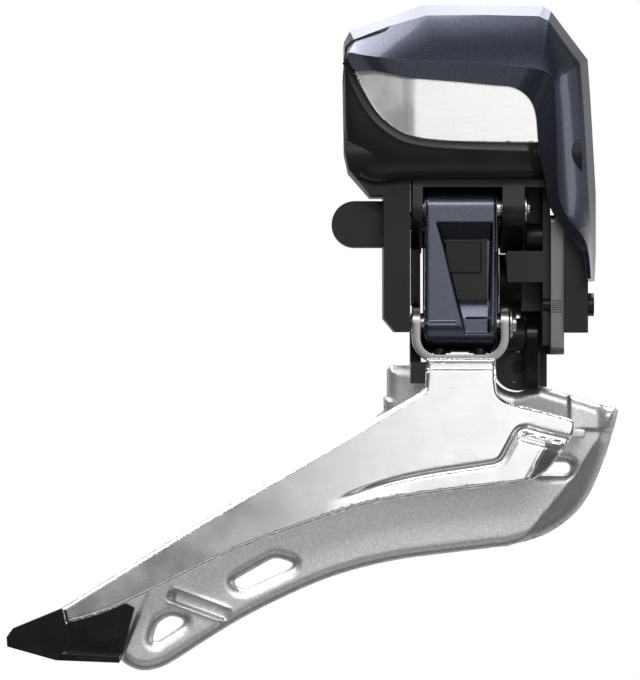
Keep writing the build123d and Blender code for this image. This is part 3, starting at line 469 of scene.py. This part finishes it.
def flat_mesh(edges, free):
    """Triangles over an outline with holes. Edges are the outline and then the holes."""

    def in_sheet(points):
        keep = inside(points, edges[0])
        for hole in edges[1:]:
            keep &= ~inside(points, hole)
        return keep

    free = free[in_sheet(free)]
    free = free[distance_to_edges(free, edges) > EDGE_CLEAR]
    constraint, start = [], 0
    for edge in edges:
        constraint += [(start + i, start + (i + 1) % len(edge)) for i in range(len(edge))]
        start += len(edge)
    joined = [Vector(point) for edge in edges for point in edge] + [Vector(point) for point in free]
    flat, _, triangles, *_ = delaunay_2d_cdt(joined, constraint, [], 0, 1e-5)
    flat = np.array([tuple(point) for point in flat])
    triangles = np.array(triangles)
    return flat, triangles[in_sheet(flat[triangles].mean(axis=1))]


def rolled(distance, width, depth):
    """How far a rolled edge has dropped away, at a distance from the edge."""
    t = np.clip(distance / width, 0, 1)
    return depth * (1 - np.sqrt(np.maximum(0, 1 - (1 - t) ** 2)))


def with_slope(surface, flat):
    """A surface's depth at each point of the flat mesh, and its slope along X and Z."""
    small = 0.015
    along_x = (surface(flat + (small, 0)) - surface(flat - (small, 0))) / (2 * small)
    along_z = (surface(flat + (0, small)) - surface(flat - (0, small))) / (2 * small)
    return surface(flat), np.clip(along_x, -6, 6), np.clip(along_z, -6, 6)


def pressed_sheet(name, outline, holes, face_y, thickness, height, rim, material,
                  step=0.6, guides=(), back_height=None):
    """A pressed sheet-metal plate that faces outboard.

    Height gives how far inboard the sheet lies at each point, and rim is the (width, depth) of the rolled
    edge. Guides are polylines along creases, where the mesh gets rows of closer points. The back follows
    the face unless it has a height of its own.
    """
    edges = [thicken(outline)] + [thicken(hole, 0.4) for hole in holes]
    back_height = back_height or height
    back_rim = (0.3, 0.3)

    def front(points):
        return face_y + height(points) + rolled(distance_to_edges(points, edges), *rim)

    def back(points):
        return face_y + thickness + back_height(points) - rolled(distance_to_edges(points, edges), *back_rim)

    flat, triangles = flat_mesh(edges, mesh_points(edges, guides, rim[0], step))
    count = len(flat)
    points, normals = [], []
    for surface, facing in ((front, -1), (back, 1)):
        depth, along_x, along_z = with_slope(surface, flat)
        points += [(x, y, z) for (x, z), y in zip(flat, depth)]
        normals += [(-facing * dx, facing, -facing * dz) for dx, dz in zip(along_x, along_z)]
    faces, used = [], []
    for a, b, c in triangles.tolist():
        if np.cross(flat[b] - flat[a], flat[c] - flat[a]) < 0:
            b, c = c, b
        faces += [(a, b, c), (count + a, count + c, count + b)]
        used += [(a, b), (b, c), (c, a)]
    # A wall with sharp edges of its own joins the face to the back along each free edge
    known = set(used)
    for a, b in used:
        if (b, a) in known:
            continue
        along = flat[b] - flat[a]
        first = len(points)
        points += [points[a], points[b], points[count + b], points[count + a]]
        normals += [(along[1], 0.0, -along[0])] * 4
        faces.append((first, first + 3, first + 2, first + 1))
    return add_piece(name, points, faces, material, normals)


# ---------------------------------------------------------------- outer plate of the cage

OUTER_FACE_Y = -19.0
OUTER_T = 1.6
OUTER_RIM = (0.7, 0.55)
NECK_LEFT, NECK_RIGHT = -22.0, -10.9
STEP_LINE = flow([(-40.0, -35.6), (-29.6, -31.9), (-22.7, -30.2), (-14.4, -28.9), (-11.2, -28.4)], 6)[:-1]
STEP_LINE += flow([(-11.2, -28.4), (-10.2, -27.8), (-9.2, -26.1), (-7.6, -23.3), (-6.1, -22.7)], 4)[:-1]
STEP_LINE += [(-6.1, -22.7), (-3.4, -23.5), (3.0, -25.0)]
LOWER_SIDE = STEP_LINE + [(6.0, -40.0), (-45.0, -60.0), (-45.0, -37.0)]
SLIT_LINE = [(-6.6, -24.7), (-0.4, -26.3)]
FOLD_LINE = [(-6.2, -24.0), (0.0, -25.5)]
GROOVE_LEVELS = (-14.0, -13.5, -12.8, -12.3)  # the groove across the neck: its lower and its upper slope
NECK_LINES = [[(NECK_LEFT + 0.5, z), (NECK_RIGHT - 0.5, z)] for z in GROOVE_LEVELS]


def ridge_along(distance, width):
    """1 on a line and nearly 0 a few widths away from it."""
    return np.exp(-((distance / width) ** 2))


def outer_height(points):
    """The outer plate: a bent tail, a pressed step along the lower edge, and a groove across the neck."""
    x, z = points.T
    h = 1.6 * np.clip((-24.0 - x) / 56.0, 0, None) ** 2
    below = inside(points, LOWER_SIDE)
    gap = distance_to(points, STEP_LINE)
    signed = np.where(below, gap, -gap)
    fade = smooth_step(x, -38.0, -24.0)
    h = h + 0.75 * fade * smooth_step(signed, -0.55, 0.55)
    h = h + 0.35 * fade * ridge_along(signed - 0.25, 0.45)
    # The slit and the fold above the tongue
    h = h + 0.9 * ridge_along(distance_to(points, SLIT_LINE), 0.32)
    h = h + 0.5 * ridge_along(distance_to(points, FOLD_LINE), 0.25)
    # The tongue inside the corner, which turns away in front of a ridge
    tongue = (side_of(points, (-9.7, -29.4), (-7.5, -25.3)) < 0) & below
    ridge = side_of(points, (-6.1, -31.6), (-3.3, -26.3))
    h = h + np.where(tongue & (z < -25.6), np.where(ridge > 0, 0.0, -ridge * 0.38), 0.0)
    h = h - 0.25 * ridge_along(ridge, 0.22) * (tongue & (z < -26.2) & (z > -31.4))
    # The groove below the lip at the top of the neck
    groove = smooth_step(z, *GROOVE_LEVELS[:2]) * (1 - smooth_step(z, *GROOVE_LEVELS[2:]))
    return h + 1.1 * groove * (x > NECK_LEFT - 0.5)


outer_outline = [(-79.6, -54.0), (-80.1, -51.7), (-57.8, -37.8), (-35.9, -25.0)]
outer_outline += flow([
    (-35.9, -25.0), (-29.0, -20.8), (-22.9, -17.2), (-22.2, -15.6), (-22.1, -13.4), (NECK_LEFT, -11.7)], 5)
outer_outline += [(NECK_RIGHT, -11.7), (NECK_RIGHT, -13.5)]
outer_outline += flow([
    (NECK_RIGHT, -15.6), (-10.6, -17.4), (-9.6, -18.6), (-8.0, -19.2), (-3.6, -20.3), (0.4, -21.4)], 5)
outer_outline += flow([
    (0.4, -21.4), (1.6, -22.0), (1.7, -23.1), (0.9, -25.0), (-0.8, -27.5), (-2.6, -29.7),
    (-5.0, -31.3)], 5)[1:]
outer_outline += flow([
    (-5.0, -31.3), (-8.0, -31.9), (-16.0, -32.8), (-26.2, -34.2), (-33.3, -35.7), (-41.2, -38.3),
    (-49.2, -41.2), (-57.2, -44.6), (-67.8, -49.9), (-74.0, -52.6), (-79.2, -54.1)], 5)[1:]

outer_plate = pressed_sheet(
    "outer_plate_sheet", outer_outline, [], OUTER_FACE_Y, OUTER_T, outer_height, OUTER_RIM, polished,
    guides=[STEP_LINE, SLIT_LINE, [(-6.1, -31.4), (-3.3, -26.5)]] + NECK_LINES)
stand_for(outer_plate, "cage", "polished_alloy", "outer_plate")

# The yoke folds in from the neck and turns up into an ear at each end, round the link's lower pin
YOKE_LEFT, YOKE_RIGHT = -23.6, -9.5
YOKE_FLOOR_Z = -11.95
YOKE_T = 1.3
YOKE_BEND = 3.3
EAR_R = 3.4
LOW_PIN_Y, LOW_PIN_Z = -15.216, -6.155


def yoke_limits(z):
    """How far the yoke reaches outboard and inboard at a height: a half circle at the top of each ear."""
    if z > LOW_PIN_Z:
        half = math.sqrt(max(0.05, EAR_R**2 - (z - LOW_PIN_Z) ** 2))
        return LOW_PIN_Y - half, LOW_PIN_Y + half
    drop = min(1.0, (LOW_PIN_Z - z) / 4.0)
    return LOW_PIN_Y - EAR_R - 0.1 * drop, LOW_PIN_Y + EAR_R


def hinge_yoke():
    """The strip of the yoke, along its middle line in the front view."""
    bend = [(YOKE_BEND * (1 - math.cos(a)), YOKE_FLOOR_Z + YOKE_BEND * (1 - math.sin(a)))
            for a in np.linspace(0, math.pi / 2, 9)]
    path = [(YOKE_LEFT, -2.8 - 0.6 * i) for i in range(10)]
    path += [(YOKE_LEFT + x, z) for x, z in bend]
    path += [(x, YOKE_FLOOR_Z) for x in np.linspace(YOKE_LEFT + YOKE_BEND, YOKE_RIGHT - YOKE_BEND, 10)[1:-1]]
    path += [(YOKE_RIGHT - x, z) for x, z in reversed(bend)]
    path += [(YOKE_RIGHT, -8.2 + 0.6 * i) for i in range(10)]
    across = 13
    points = [(x, y, z) for x, z in path for y in np.linspace(*yoke_limits(z), across)]
    # The yoke gets the darker copy of the polished alloy: painted shade.
    piece = add_piece("hinge_yoke", points, join_rows(len(path), across), shaded_yoke_alloy)
    apply_modifier(piece, "SOLIDIFY", thickness=YOKE_T * MM, offset=0.0)
    soften(piece, 0.5, 4, 50)
    return piece


stand_for(hinge_yoke(), "cage", "polished_alloy")

# ---------------------------------------------------------------- inner plate of the cage

INNER_FACE_Y = -5.2
INNER_T = 1.3
INNER_RIM = (1.9, 1.3)
GROOVE_UPPER = [(-62.2, -49.3), (-52.9, -52.8)]
GROOVE_LOWER = [(-64.4, -50.9), (-55.5, -54.1)]
TAIL_EDGE = [(-67.4, -51.5), (-71.0, -60.4)]
CORNER_LINES = [[(1.6, -22.9), (7.4, -24.8)], [(1.2, -22.9), (1.2, -18.5)]]


def inner_height(points):
    """The inner plate: a recessed tail, a wedge-shaped groove, and a front that bends away."""
    x, z = points.T
    left = side_of(points, (-67.4, -51.5), (-71.2, -60.9))
    h = 1.15 * smooth_step(-left, -0.3, 0.5) * (x < -60)
    # The groove between two ridges widens towards the lower edge
    along = side_of(points, (-62.0, -49.2), (-65.4, -58.3))
    upper = side_of(points, (-62.2, -49.3), (-52.6, -52.9))
    lower = side_of(points, (-64.4, -50.9), (-55.2, -54.2))
    between = smooth_step(-upper, -0.15, 0.55) * smooth_step(lower, -0.15, 0.55)
    reach = smooth_step(along, -1.5, 0.5) * smooth_step(-along, -9.6, -8.2)
    h = h + 0.95 * between * reach
    h = h - 0.22 * (ridge_along(upper, 0.35) + ridge_along(lower, 0.35)) * reach
    # The front bends away along a line from the lower edge up to the nose
    low_part = side_of(points, (0.4, -32.7), (-5.6, -40.0))
    high_part = side_of(points, (6.2, -24.3), (0.4, -32.7))
    front = np.maximum(low_part, high_part)
    h = h + 0.42 * np.clip(front, 0, None) * smooth_step(front, 0.0, 1.0) * smooth_step(-z, 20.0, 25.0)
    h = h + 0.45 * smooth_step(x, 5.6, 7.6) * smooth_step(-z, 16.0, 20.0) * smooth_step(z, -26.0, -23.0)
    # A raised corner at the top front, and an upper edge that turns away to the rear
    h = h - 0.7 * smooth_step(x, 1.0, 1.8) * smooth_step(z, -23.9, -23.0)
    turned = 0.2 * np.clip(1.2 - x, 0, 9.0) + 0.2 * np.clip(-20.5 - x, 0, None)
    return h + turned * smooth_step(z, -24.5, -21.5)


inner_outline = [
    (-71.4, -60.6), (-79.2, -57.0), (-78.0, -53.0), (-58.0, -39.5), (-36.0, -26.5), (-28.6, -20.4),
    (-28.7, -18.4), (-28.1, -18.0), (-28.1, -13.9), (-27.5, -13.1), (-12.5, -13.0)]
inner_outline += flow([(-11.4, -14.6), (-9.4, -16.7), (-7.2, -17.4), (-5.4, -16.9), (-3.4, -16.4)], 5)
inner_outline += [(7.7, -19.8), (8.6, -19.8), (9.3, -20.4)]
inner_outline += flow([
    (9.1, -21.4), (7.8, -26.1), (6.2, -30.6), (4.4, -34.4), (1.8, -37.6), (-2.6, -40.5), (-8.6, -42.3)], 6)
inner_outline += flow([
    (-8.6, -42.3), (-17.0, -43.3), (-26.2, -44.5), (-34.0, -46.3), (-41.2, -48.9), (-51.8, -54.1),
    (-62.0, -60.5)], 6)[1:]
inner_outline += flow([
    (-62.0, -60.5), (-64.6, -61.9), (-67.4, -62.45), (-69.8, -61.8), (-71.4, -60.6)], 5)[1:-1]
long_hole = round_corners([
    (-53.0, -47.9), (-46.3, -44.1), (-43.3, -45.0), (-43.6, -45.9), (-50.9, -49.3), (-52.4, -49.1)], 1.0)
tail_hole = round_corners([
    (-66.1, -57.5), (-65.3, -54.8), (-63.2, -53.5), (-61.1, -54.1), (-61.1, -55.1), (-65.6, -58.0)], 0.9)
SLOT_X, SLOT_Z, SLOT_R = 0.6, -29.7, 0.95
slot_hole = [(-3.2, SLOT_Z + SLOT_R), (-3.2, SLOT_Z - SLOT_R)]
slot_hole += [(SLOT_X + SLOT_R * math.cos(a), SLOT_Z + SLOT_R * math.sin(a))
              for a in np.linspace(-math.pi / 2, math.pi / 2, 9)]

inner_plate = pressed_sheet(
    "inner_plate_sheet", inner_outline, [long_hole, tail_hole, slot_hole], INNER_FACE_Y, INNER_T,
    inner_height, INNER_RIM, satin_steel, guides=[GROOVE_UPPER, GROOVE_LOWER, TAIL_EDGE] + CORNER_LINES)
stand_for(inner_plate, "cage", "satin_steel", "inner_plate")

# The pivot ear at the front of the inner plate
INNER_PIN_Y, INNER_PIN_Z, INNER_EAR_R = -5.02, -8.16, 3.1
ear_outline = [(INNER_PIN_Y + INNER_EAR_R * math.cos(a), INNER_PIN_Z + INNER_EAR_R * math.sin(a))
               for a in np.linspace(-0.2, math.pi + 0.2, 15)]
ear_outline += [(-6.2, -17.0), (-3.7, -17.0)]
inner_ear = prism("inner_plate_ear", ear_outline, -5.8, -3.6, gloss_black)
stand_for(inner_ear, "cage", "black_metal")

# The flange that crosses over the chain to the outer plate, with a lip that hides the rivet
flange = soft_block("front_flange", (-4.0, 3.4), (-17.2, -4.6), (-24.6, -23.3), satin_steel)
stand_for(flange, "cage", "satin_steel", "front_rivet")
flange_lip = soft_block("front_flange_lip", (-4.0, 0.4), (-17.2, -16.0), (-24.6, -21.3), satin_steel)
stand_for(flange_lip, "cage", "satin_steel")

# The index marks on the front edge of the mounting plate
MARK_TOP_Z, MARK_STEP, MARK_HALF = -2.7, 0.36, 0.07
for i in range(6):
    z = MARK_TOP_Z - MARK_STEP * i
    limits = (z - MARK_HALF, z + MARK_HALF)
    mark = soft_block(f"plate_mark_{i}", (-2.0, -0.4), (-17.53, -17.3), limits, gloss_black, bevel=0.02)
    stand_for(mark, "base", "black_metal")

# ---------------------------------------------------------------- hood

# Four lines run round the hood from its rear top corner to the foot of its front wall, with matching points
HOOD_RIM = [
    (-35.2, 36.2), (-35.2, 38.4), (-34.2, 40.2), (-28.4, 42.3), (-22.5, 44.4), (-13.0, 44.3), (-3.4, 44.2),
    (-2.1, 43.4), (0.9, 39.4), (3.7, 35.7), (4.1, 30.0), (4.4, 25.0), (5.0, 14.2), (5.0, 8.0), (5.0, 4.8),
    (4.8, 0.4)]
HOOD_CHAMFER = [
    (-34.9, 35.9), (-34.6, 37.7), (-33.6, 38.8), (-28.0, 40.9), (-22.1, 42.6), (-13.0, 42.7), (-4.2, 42.5),
    (-2.7, 41.8), (-0.2, 38.4), (2.4, 34.8), (2.8, 30.0), (3.1, 25.0), (3.7, 14.0), (4.1, 8.0), (4.2, 4.8),
    (4.3, 0.6)]
HOOD_FOLD = [
    (-34.7, 35.5), (-34.4, 36.5), (-32.0, 36.1), (-26.2, 35.4), (-20.0, 35.1), (-13.0, 34.9), (-6.5, 34.2),
    (-3.8, 33.7), (-2.5, 33.1), (-1.9, 32.0), (-1.7, 28.0), (-1.5, 23.0), (-1.0, 13.0), (2.6, 7.4),
    (3.5, 4.8), (3.9, 0.8)]
HOOD_WINDOW = [
    (-34.5, 34.5), (-33.1, 33.7), (-30.2, 33.7), (-24.8, 32.6), (-18.0, 32.0), (-11.6, 31.4), (-8.2, 31.0),
    (-5.9, 29.4), (-4.8, 26.9), (-4.4, 22.6), (-3.9, 19.5), (-3.4, 16.9), (-2.6, 12.4), (0.0, 8.1),
    (2.4, 4.8), (2.9, 0.6)]
HOOD_BACK_Y = 3.0
HOOD_LOWER_BACK_Y = -8.0  # inboard rim of the lower front wall
CHAMFER_START_Y, CHAMFER_END_Y = -18.6, -21.4
FOLD_Y, WINDOW_Y, WINDOW_BACK_Y = -25.4, -24.0, -22.3
STATIONS = 4  # for each span between two points


def finer(line, curved):
    """More stations along a line, on a curve or on its straight stretches."""
    if curved:
        return flow(line, STATIONS)
    out = []
    for a, b in zip(line, line[1:]):
        out += divide(a, b, STATIONS)
    return out + [line[-1]]


def level(line, y):
    """A line's points at one depth."""
    return [(x, y, z) for x, z in line]


rim, chamfer_line = finer(HOOD_RIM, False), finer(HOOD_CHAMFER, False)
fold, window = finer(HOOD_FOLD, True), finer(HOOD_WINDOW, True)
full_depth = 46  # stations of the rim that reach all the way back
hood_lines = [level(rim[:full_depth], HOOD_BACK_Y) + level(rim[full_depth:], HOOD_LOWER_BACK_Y)]
hood_lines += [level(rim, CHAMFER_START_Y), level(chamfer_line, CHAMFER_END_Y)]
for t in (0.17, 0.34, 0.5, 0.67, 0.84):
    between = [((1 - t) * a[0] + t * b[0], (1 - t) * a[1] + t * b[1]) for a, b in zip(chamfer_line, fold)]
    # The front face bows out between the chamfer and the fold
    hood_lines.append(level(between, CHAMFER_END_Y - 5.55 * t + 1.55 * t**2))
hood_lines += [level(fold, FOLD_Y), level(window, WINDOW_Y), level(window, WINDOW_BACK_Y)]
hood = lofted("hood_shell", hood_lines, navy, thickness=0.9, bevel=0.5)
stand_for(hood, "base", "painted_hood", "hood_cover")

# ---------------------------------------------------------------- front of the housing, and its panel

# Four lines run below the panel, from the rear of the housing forwards, with matching points
LEDGE = [
    (-34.5, 35.0), (-33.1, 32.7), (-30.2, 27.1), (-27.6, 25.0), (-25.1, 23.4), (-20.2, 22.7), (-12.0, 22.5),
    (-4.5, 22.4)]
BULGE_CREST = [
    (-35.1, 33.5), (-34.6, 29.5), (-33.2, 25.0), (-30.5, 22.0), (-26.8, 20.3), (-20.4, 19.7), (-12.0, 19.5),
    (-4.1, 19.4)]
BULGE_FOOT = [
    (-35.2, 31.5), (-35.1, 26.0), (-34.3, 21.2), (-31.2, 18.4), (-27.0, 17.8), (-20.4, 17.4), (-12.0, 17.3),
    (-3.8, 17.3)]
BULGE_END = [
    (-35.2, 30.5), (-35.2, 24.0), (-34.8, 18.9), (-31.4, 15.4), (-27.0, 16.4), (-20.4, 16.7), (-12.0, 16.7),
    (-3.6, 16.7)]
HOUSING_REAR_X = -35.15
# (left, down, depth) of each line of the rounded ledge
LEDGE_SECTION = [
    (0.12, 0.12, -24.25), (0.6, 0.65, -24.4), (1.2, 1.3, -24.55), (1.45, 1.6, -24.57), (1.8, 2.0, -24.4)]


def beside(line, left, down):
    """The ledge line moved to the left at its upper end and down at its lower end."""
    out = []
    for i, (x, z) in enumerate(line):
        t = i / (len(line) - 1)
        out.append((max(HOUSING_REAR_X, x - left * (1 - t) ** 0.7), z - down * t**0.45))
    return out


bulge_lines = [level(LEDGE, -22.1), level(LEDGE, -23.9)]
bulge_lines += [level(beside(LEDGE, left, down), y) for left, down, y in LEDGE_SECTION]
bulge_lines += [level(BULGE_CREST, -24.2), level(BULGE_FOOT, -23.4)]
bulge_lines += [level(BULGE_END, -22.2), level(BULGE_END, -19.0)]
bulge = lofted("housing_bulge", bulge_lines, smooth_resin, thickness=0.4, rounds=2)
stand_for(bulge, "base", "black_resin")

PANEL_FACE_Y, PANEL_T = -23.4, 0.5
PANEL_BEND_X = -23.4


def panel_height(points):
    """The panel: flat on the right, and bent back on the left."""
    left = np.clip(PANEL_BEND_X - points[:, 0], 0, None)
    return 0.125 * left * smooth_step(left, 0.0, 2.6)


panel_outline = [
    (-34.3, 34.6), (-33.1, 32.5), (-30.2, 26.9), (-27.6, 24.9), (-25.1, 23.2), (-20.2, 22.5), (-3.0, 22.3),
    (-3.0, 33.0), (-20.0, 34.6)]
panel = pressed_sheet(
    "panel_skin", panel_outline, [], PANEL_FACE_Y, PANEL_T, panel_height, (0.2, 0.1), panel_metal, step=0.45)
stand_for(panel, "base", "panel_metal", "face_plate")

# ---------------------------------------------------------------- outer link

LINK_PLANE_Y = -20.0  # link heights are measured inboard from here
LINK_FACE_Y = -19.6
LINK_WEB_BACK_Y = -14.6
BARREL_R = 3.1
TOP_Y, TOP_Z = -16.5, 12.2
LOW_Y, LOW_Z = -15.22, -6.16
LOW_FRONT_R = 4.4  # the lower barrel's rounded front, which carries on from the face
POCKET = [(-20.7, 10.0), (-19.4, 6.0), (-16.1, -8.2), (-11.8, -8.2), (-11.3, 10.0)]


def barrel(z, centre_z, radius):
    """How far a barrel reaches to each side of its axis, and 0 beyond it."""
    return np.sqrt(np.clip(radius**2 - (z - centre_z) ** 2, 0, None))


def link_face(points):
    """The outer link's outboard side: round at both ends, with a pocket between them."""
    z = points[:, 1]
    low = LOW_Y - barrel(z, LOW_Z, LOW_FRONT_R)
    y = np.where(z > LOW_Z, LINK_FACE_Y, low) + 0.2 * np.clip(z - 12.6, 0, None)
    y = np.where(z > TOP_Z, np.maximum(y, TOP_Y - barrel(z, TOP_Z, BARREL_R)), y)
    # The pocket slopes in from its top edge, and a step shows the lower barrel inside it
    floor = LINK_FACE_Y + np.clip(0.8 * (10.0 - z), 0, 2.5)
    step_down = np.where(z < -5.5, -18.6, -18.3 + 0.25 * (z + 5.5) + 0.25 * np.clip(z + 3.6, 0, None) ** 2)
    floor = np.minimum(floor, step_down)
    depth_in = np.where(inside(points, POCKET), distance_to(points, POCKET, closed=True), 0.0)
    y = np.where(depth_in > 0, np.maximum(y, y + (floor - y) * smooth_step(depth_in, 0.0, 0.45)), y)
    return y - LINK_PLANE_Y


def link_back(points):
    """Its inboard side: two barrels and a flat web between them."""
    z = points[:, 1]
    top = TOP_Y + barrel(z, TOP_Z, BARREL_R)
    low = LOW_Y + barrel(z, LOW_Z, BARREL_R)
    barrels = np.maximum(top, low)
    between = (z < TOP_Z) & (z > LOW_Z)
    return np.where(between, np.maximum(barrels, LINK_WEB_BACK_Y), barrels) - LINK_PLANE_Y


link_outline = [(-22.2, 15.25), (-22.2, 12.0), (-22.3, -6.0), (-22.2, -8.4), (-21.6, -9.9), (-20.7, -10.5)]
link_outline += [(-11.6, -10.5), (-10.9, -9.9), (-10.8, -8.4), (-10.8, 12.0), (-10.8, 15.25)]
link = pressed_sheet(
    "outer_link_body", link_outline, [], LINK_PLANE_Y, 0.0, link_face, (0.6, 0.45), navy, step=0.5,
    guides=[POCKET + POCKET[:1], [(-15.6, -5.5), (-12.0, -5.5)]], back_height=link_back)
stand_for(link, "outer_link", "painted_link", "outer_link")

# A black sheet over the pocket's floor, as painted shade for the dark void seen through the window, and the
# block that stands in it
window_outline = [(-17.4, -2.6), (-16.6, -2.6), (-16.6, 7.0), (-17.4, 7.0)]
pocket_shade_sheet = prism("link_window", window_outline, -19.2, -12.3, gloss_black, 0.1)
stand_for(pocket_shade_sheet, "outer_link", "black_metal")
pocket_block = soft_block("link_window_block", (-19.0, -13.2), (-17.9, -17.2), (1.7, 6.6), black_resin, 0.25)
stand_for(pocket_block, "outer_link", "black_resin")

# ---------------------------------------------------------------- camera, world and lights

CENTRE = (-38.96, -15.0, -8.96)
DISTANCE = 900.0
FRAME_HEIGHT = 108.8
SENSOR = 36.0
camera_data = bpy.data.cameras.new("camera")
camera_data.lens = SENSOR * DISTANCE / FRAME_HEIGHT
camera_data.sensor_width = SENSOR
camera_data.clip_start = 0.01
camera_data.clip_end = 10.0
camera = bpy.data.objects.new("camera", camera_data)
camera.location = Vector((CENTRE[0], CENTRE[1] - DISTANCE, CENTRE[2])) * MM
camera.rotation_euler = (math.radians(90), 0, 0)
scene.collection.objects.link(camera)
scene.camera = camera

# The world is plain white behind the object. What it lights and reflects is dark in front and pale behind.
world = bpy.data.worlds.new("studio")
scene.world = world
world.use_nodes = True
tree = world.node_tree
background = tree.nodes["Background"]
ray = tree.nodes.new("ShaderNodeLightPath")
direction = tree.nodes.new("ShaderNodeTexCoord")
split = tree.nodes.new("ShaderNodeSeparateXYZ")
behind = tree.nodes.new("ShaderNodeMapRange")
behind.interpolation_type = "SMOOTHSTEP"
for key, number in (("From Min", -0.35), ("From Max", 0.75), ("To Min", 0.05), ("To Max", 0.75)):
    behind.inputs[key].default_value = number
mix = tree.nodes.new("ShaderNodeMix")
mix.data_type = "RGBA"
mix.inputs["B"].default_value = (1, 1, 1, 1)
tree.links.new(direction.outputs["Generated"], split.inputs["Vector"])
tree.links.new(split.outputs["Y"], behind.inputs["Value"])
tree.links.new(behind.outputs["Result"], mix.inputs["A"])
tree.links.new(ray.outputs["Is Camera Ray"], mix.inputs["Factor"])
tree.links.new(mix.outputs["Result"], background.inputs["Color"])


def soft_box(name, location, target, size, power):
    """A rectangular area light of some watts, placed in millimetres and turned towards a target."""
    data = bpy.data.lights.new(name, "AREA")
    data.shape = "RECTANGLE"
    data.size, data.size_y = size[0] * MM, size[1] * MM
    data.energy = power
    lamp = bpy.data.objects.new(name, data)
    lamp.location = Vector(location) * MM
    lamp.rotation_mode = "QUATERNION"
    lamp.rotation_quaternion = (Vector(target) - Vector(location)).to_track_quat("-Z", "Y")
    scene.collection.objects.link(lamp)


soft_box("front_panel", (150, -1100, 20), (-20, -15, -10), (430, 620), 1.15)
soft_box("front_left_fill", (-420, -1000, -60), (-40, -15, -20), (300, 500), 0.11)
soft_box("upper_front", (-20, -900, 375), (-20, -15, 10), (700, 170), 3.3)
soft_box("top_panel", (-20, 130, 620), (-20, 10, 0), (700, 740), 8.5)
soft_box("upper_left", (-420, -330, 430), (-30, -15, 20), (300, 420), 2.0)
soft_box("low_front", (-20, -500, -520), (-20, -15, 0), (600, 300), 0.4)
soft_box("right_strip", (650, -160, 60), (0, -10, 10), (160, 600), 0.75)

scene.view_settings.view_transform = "Standard"
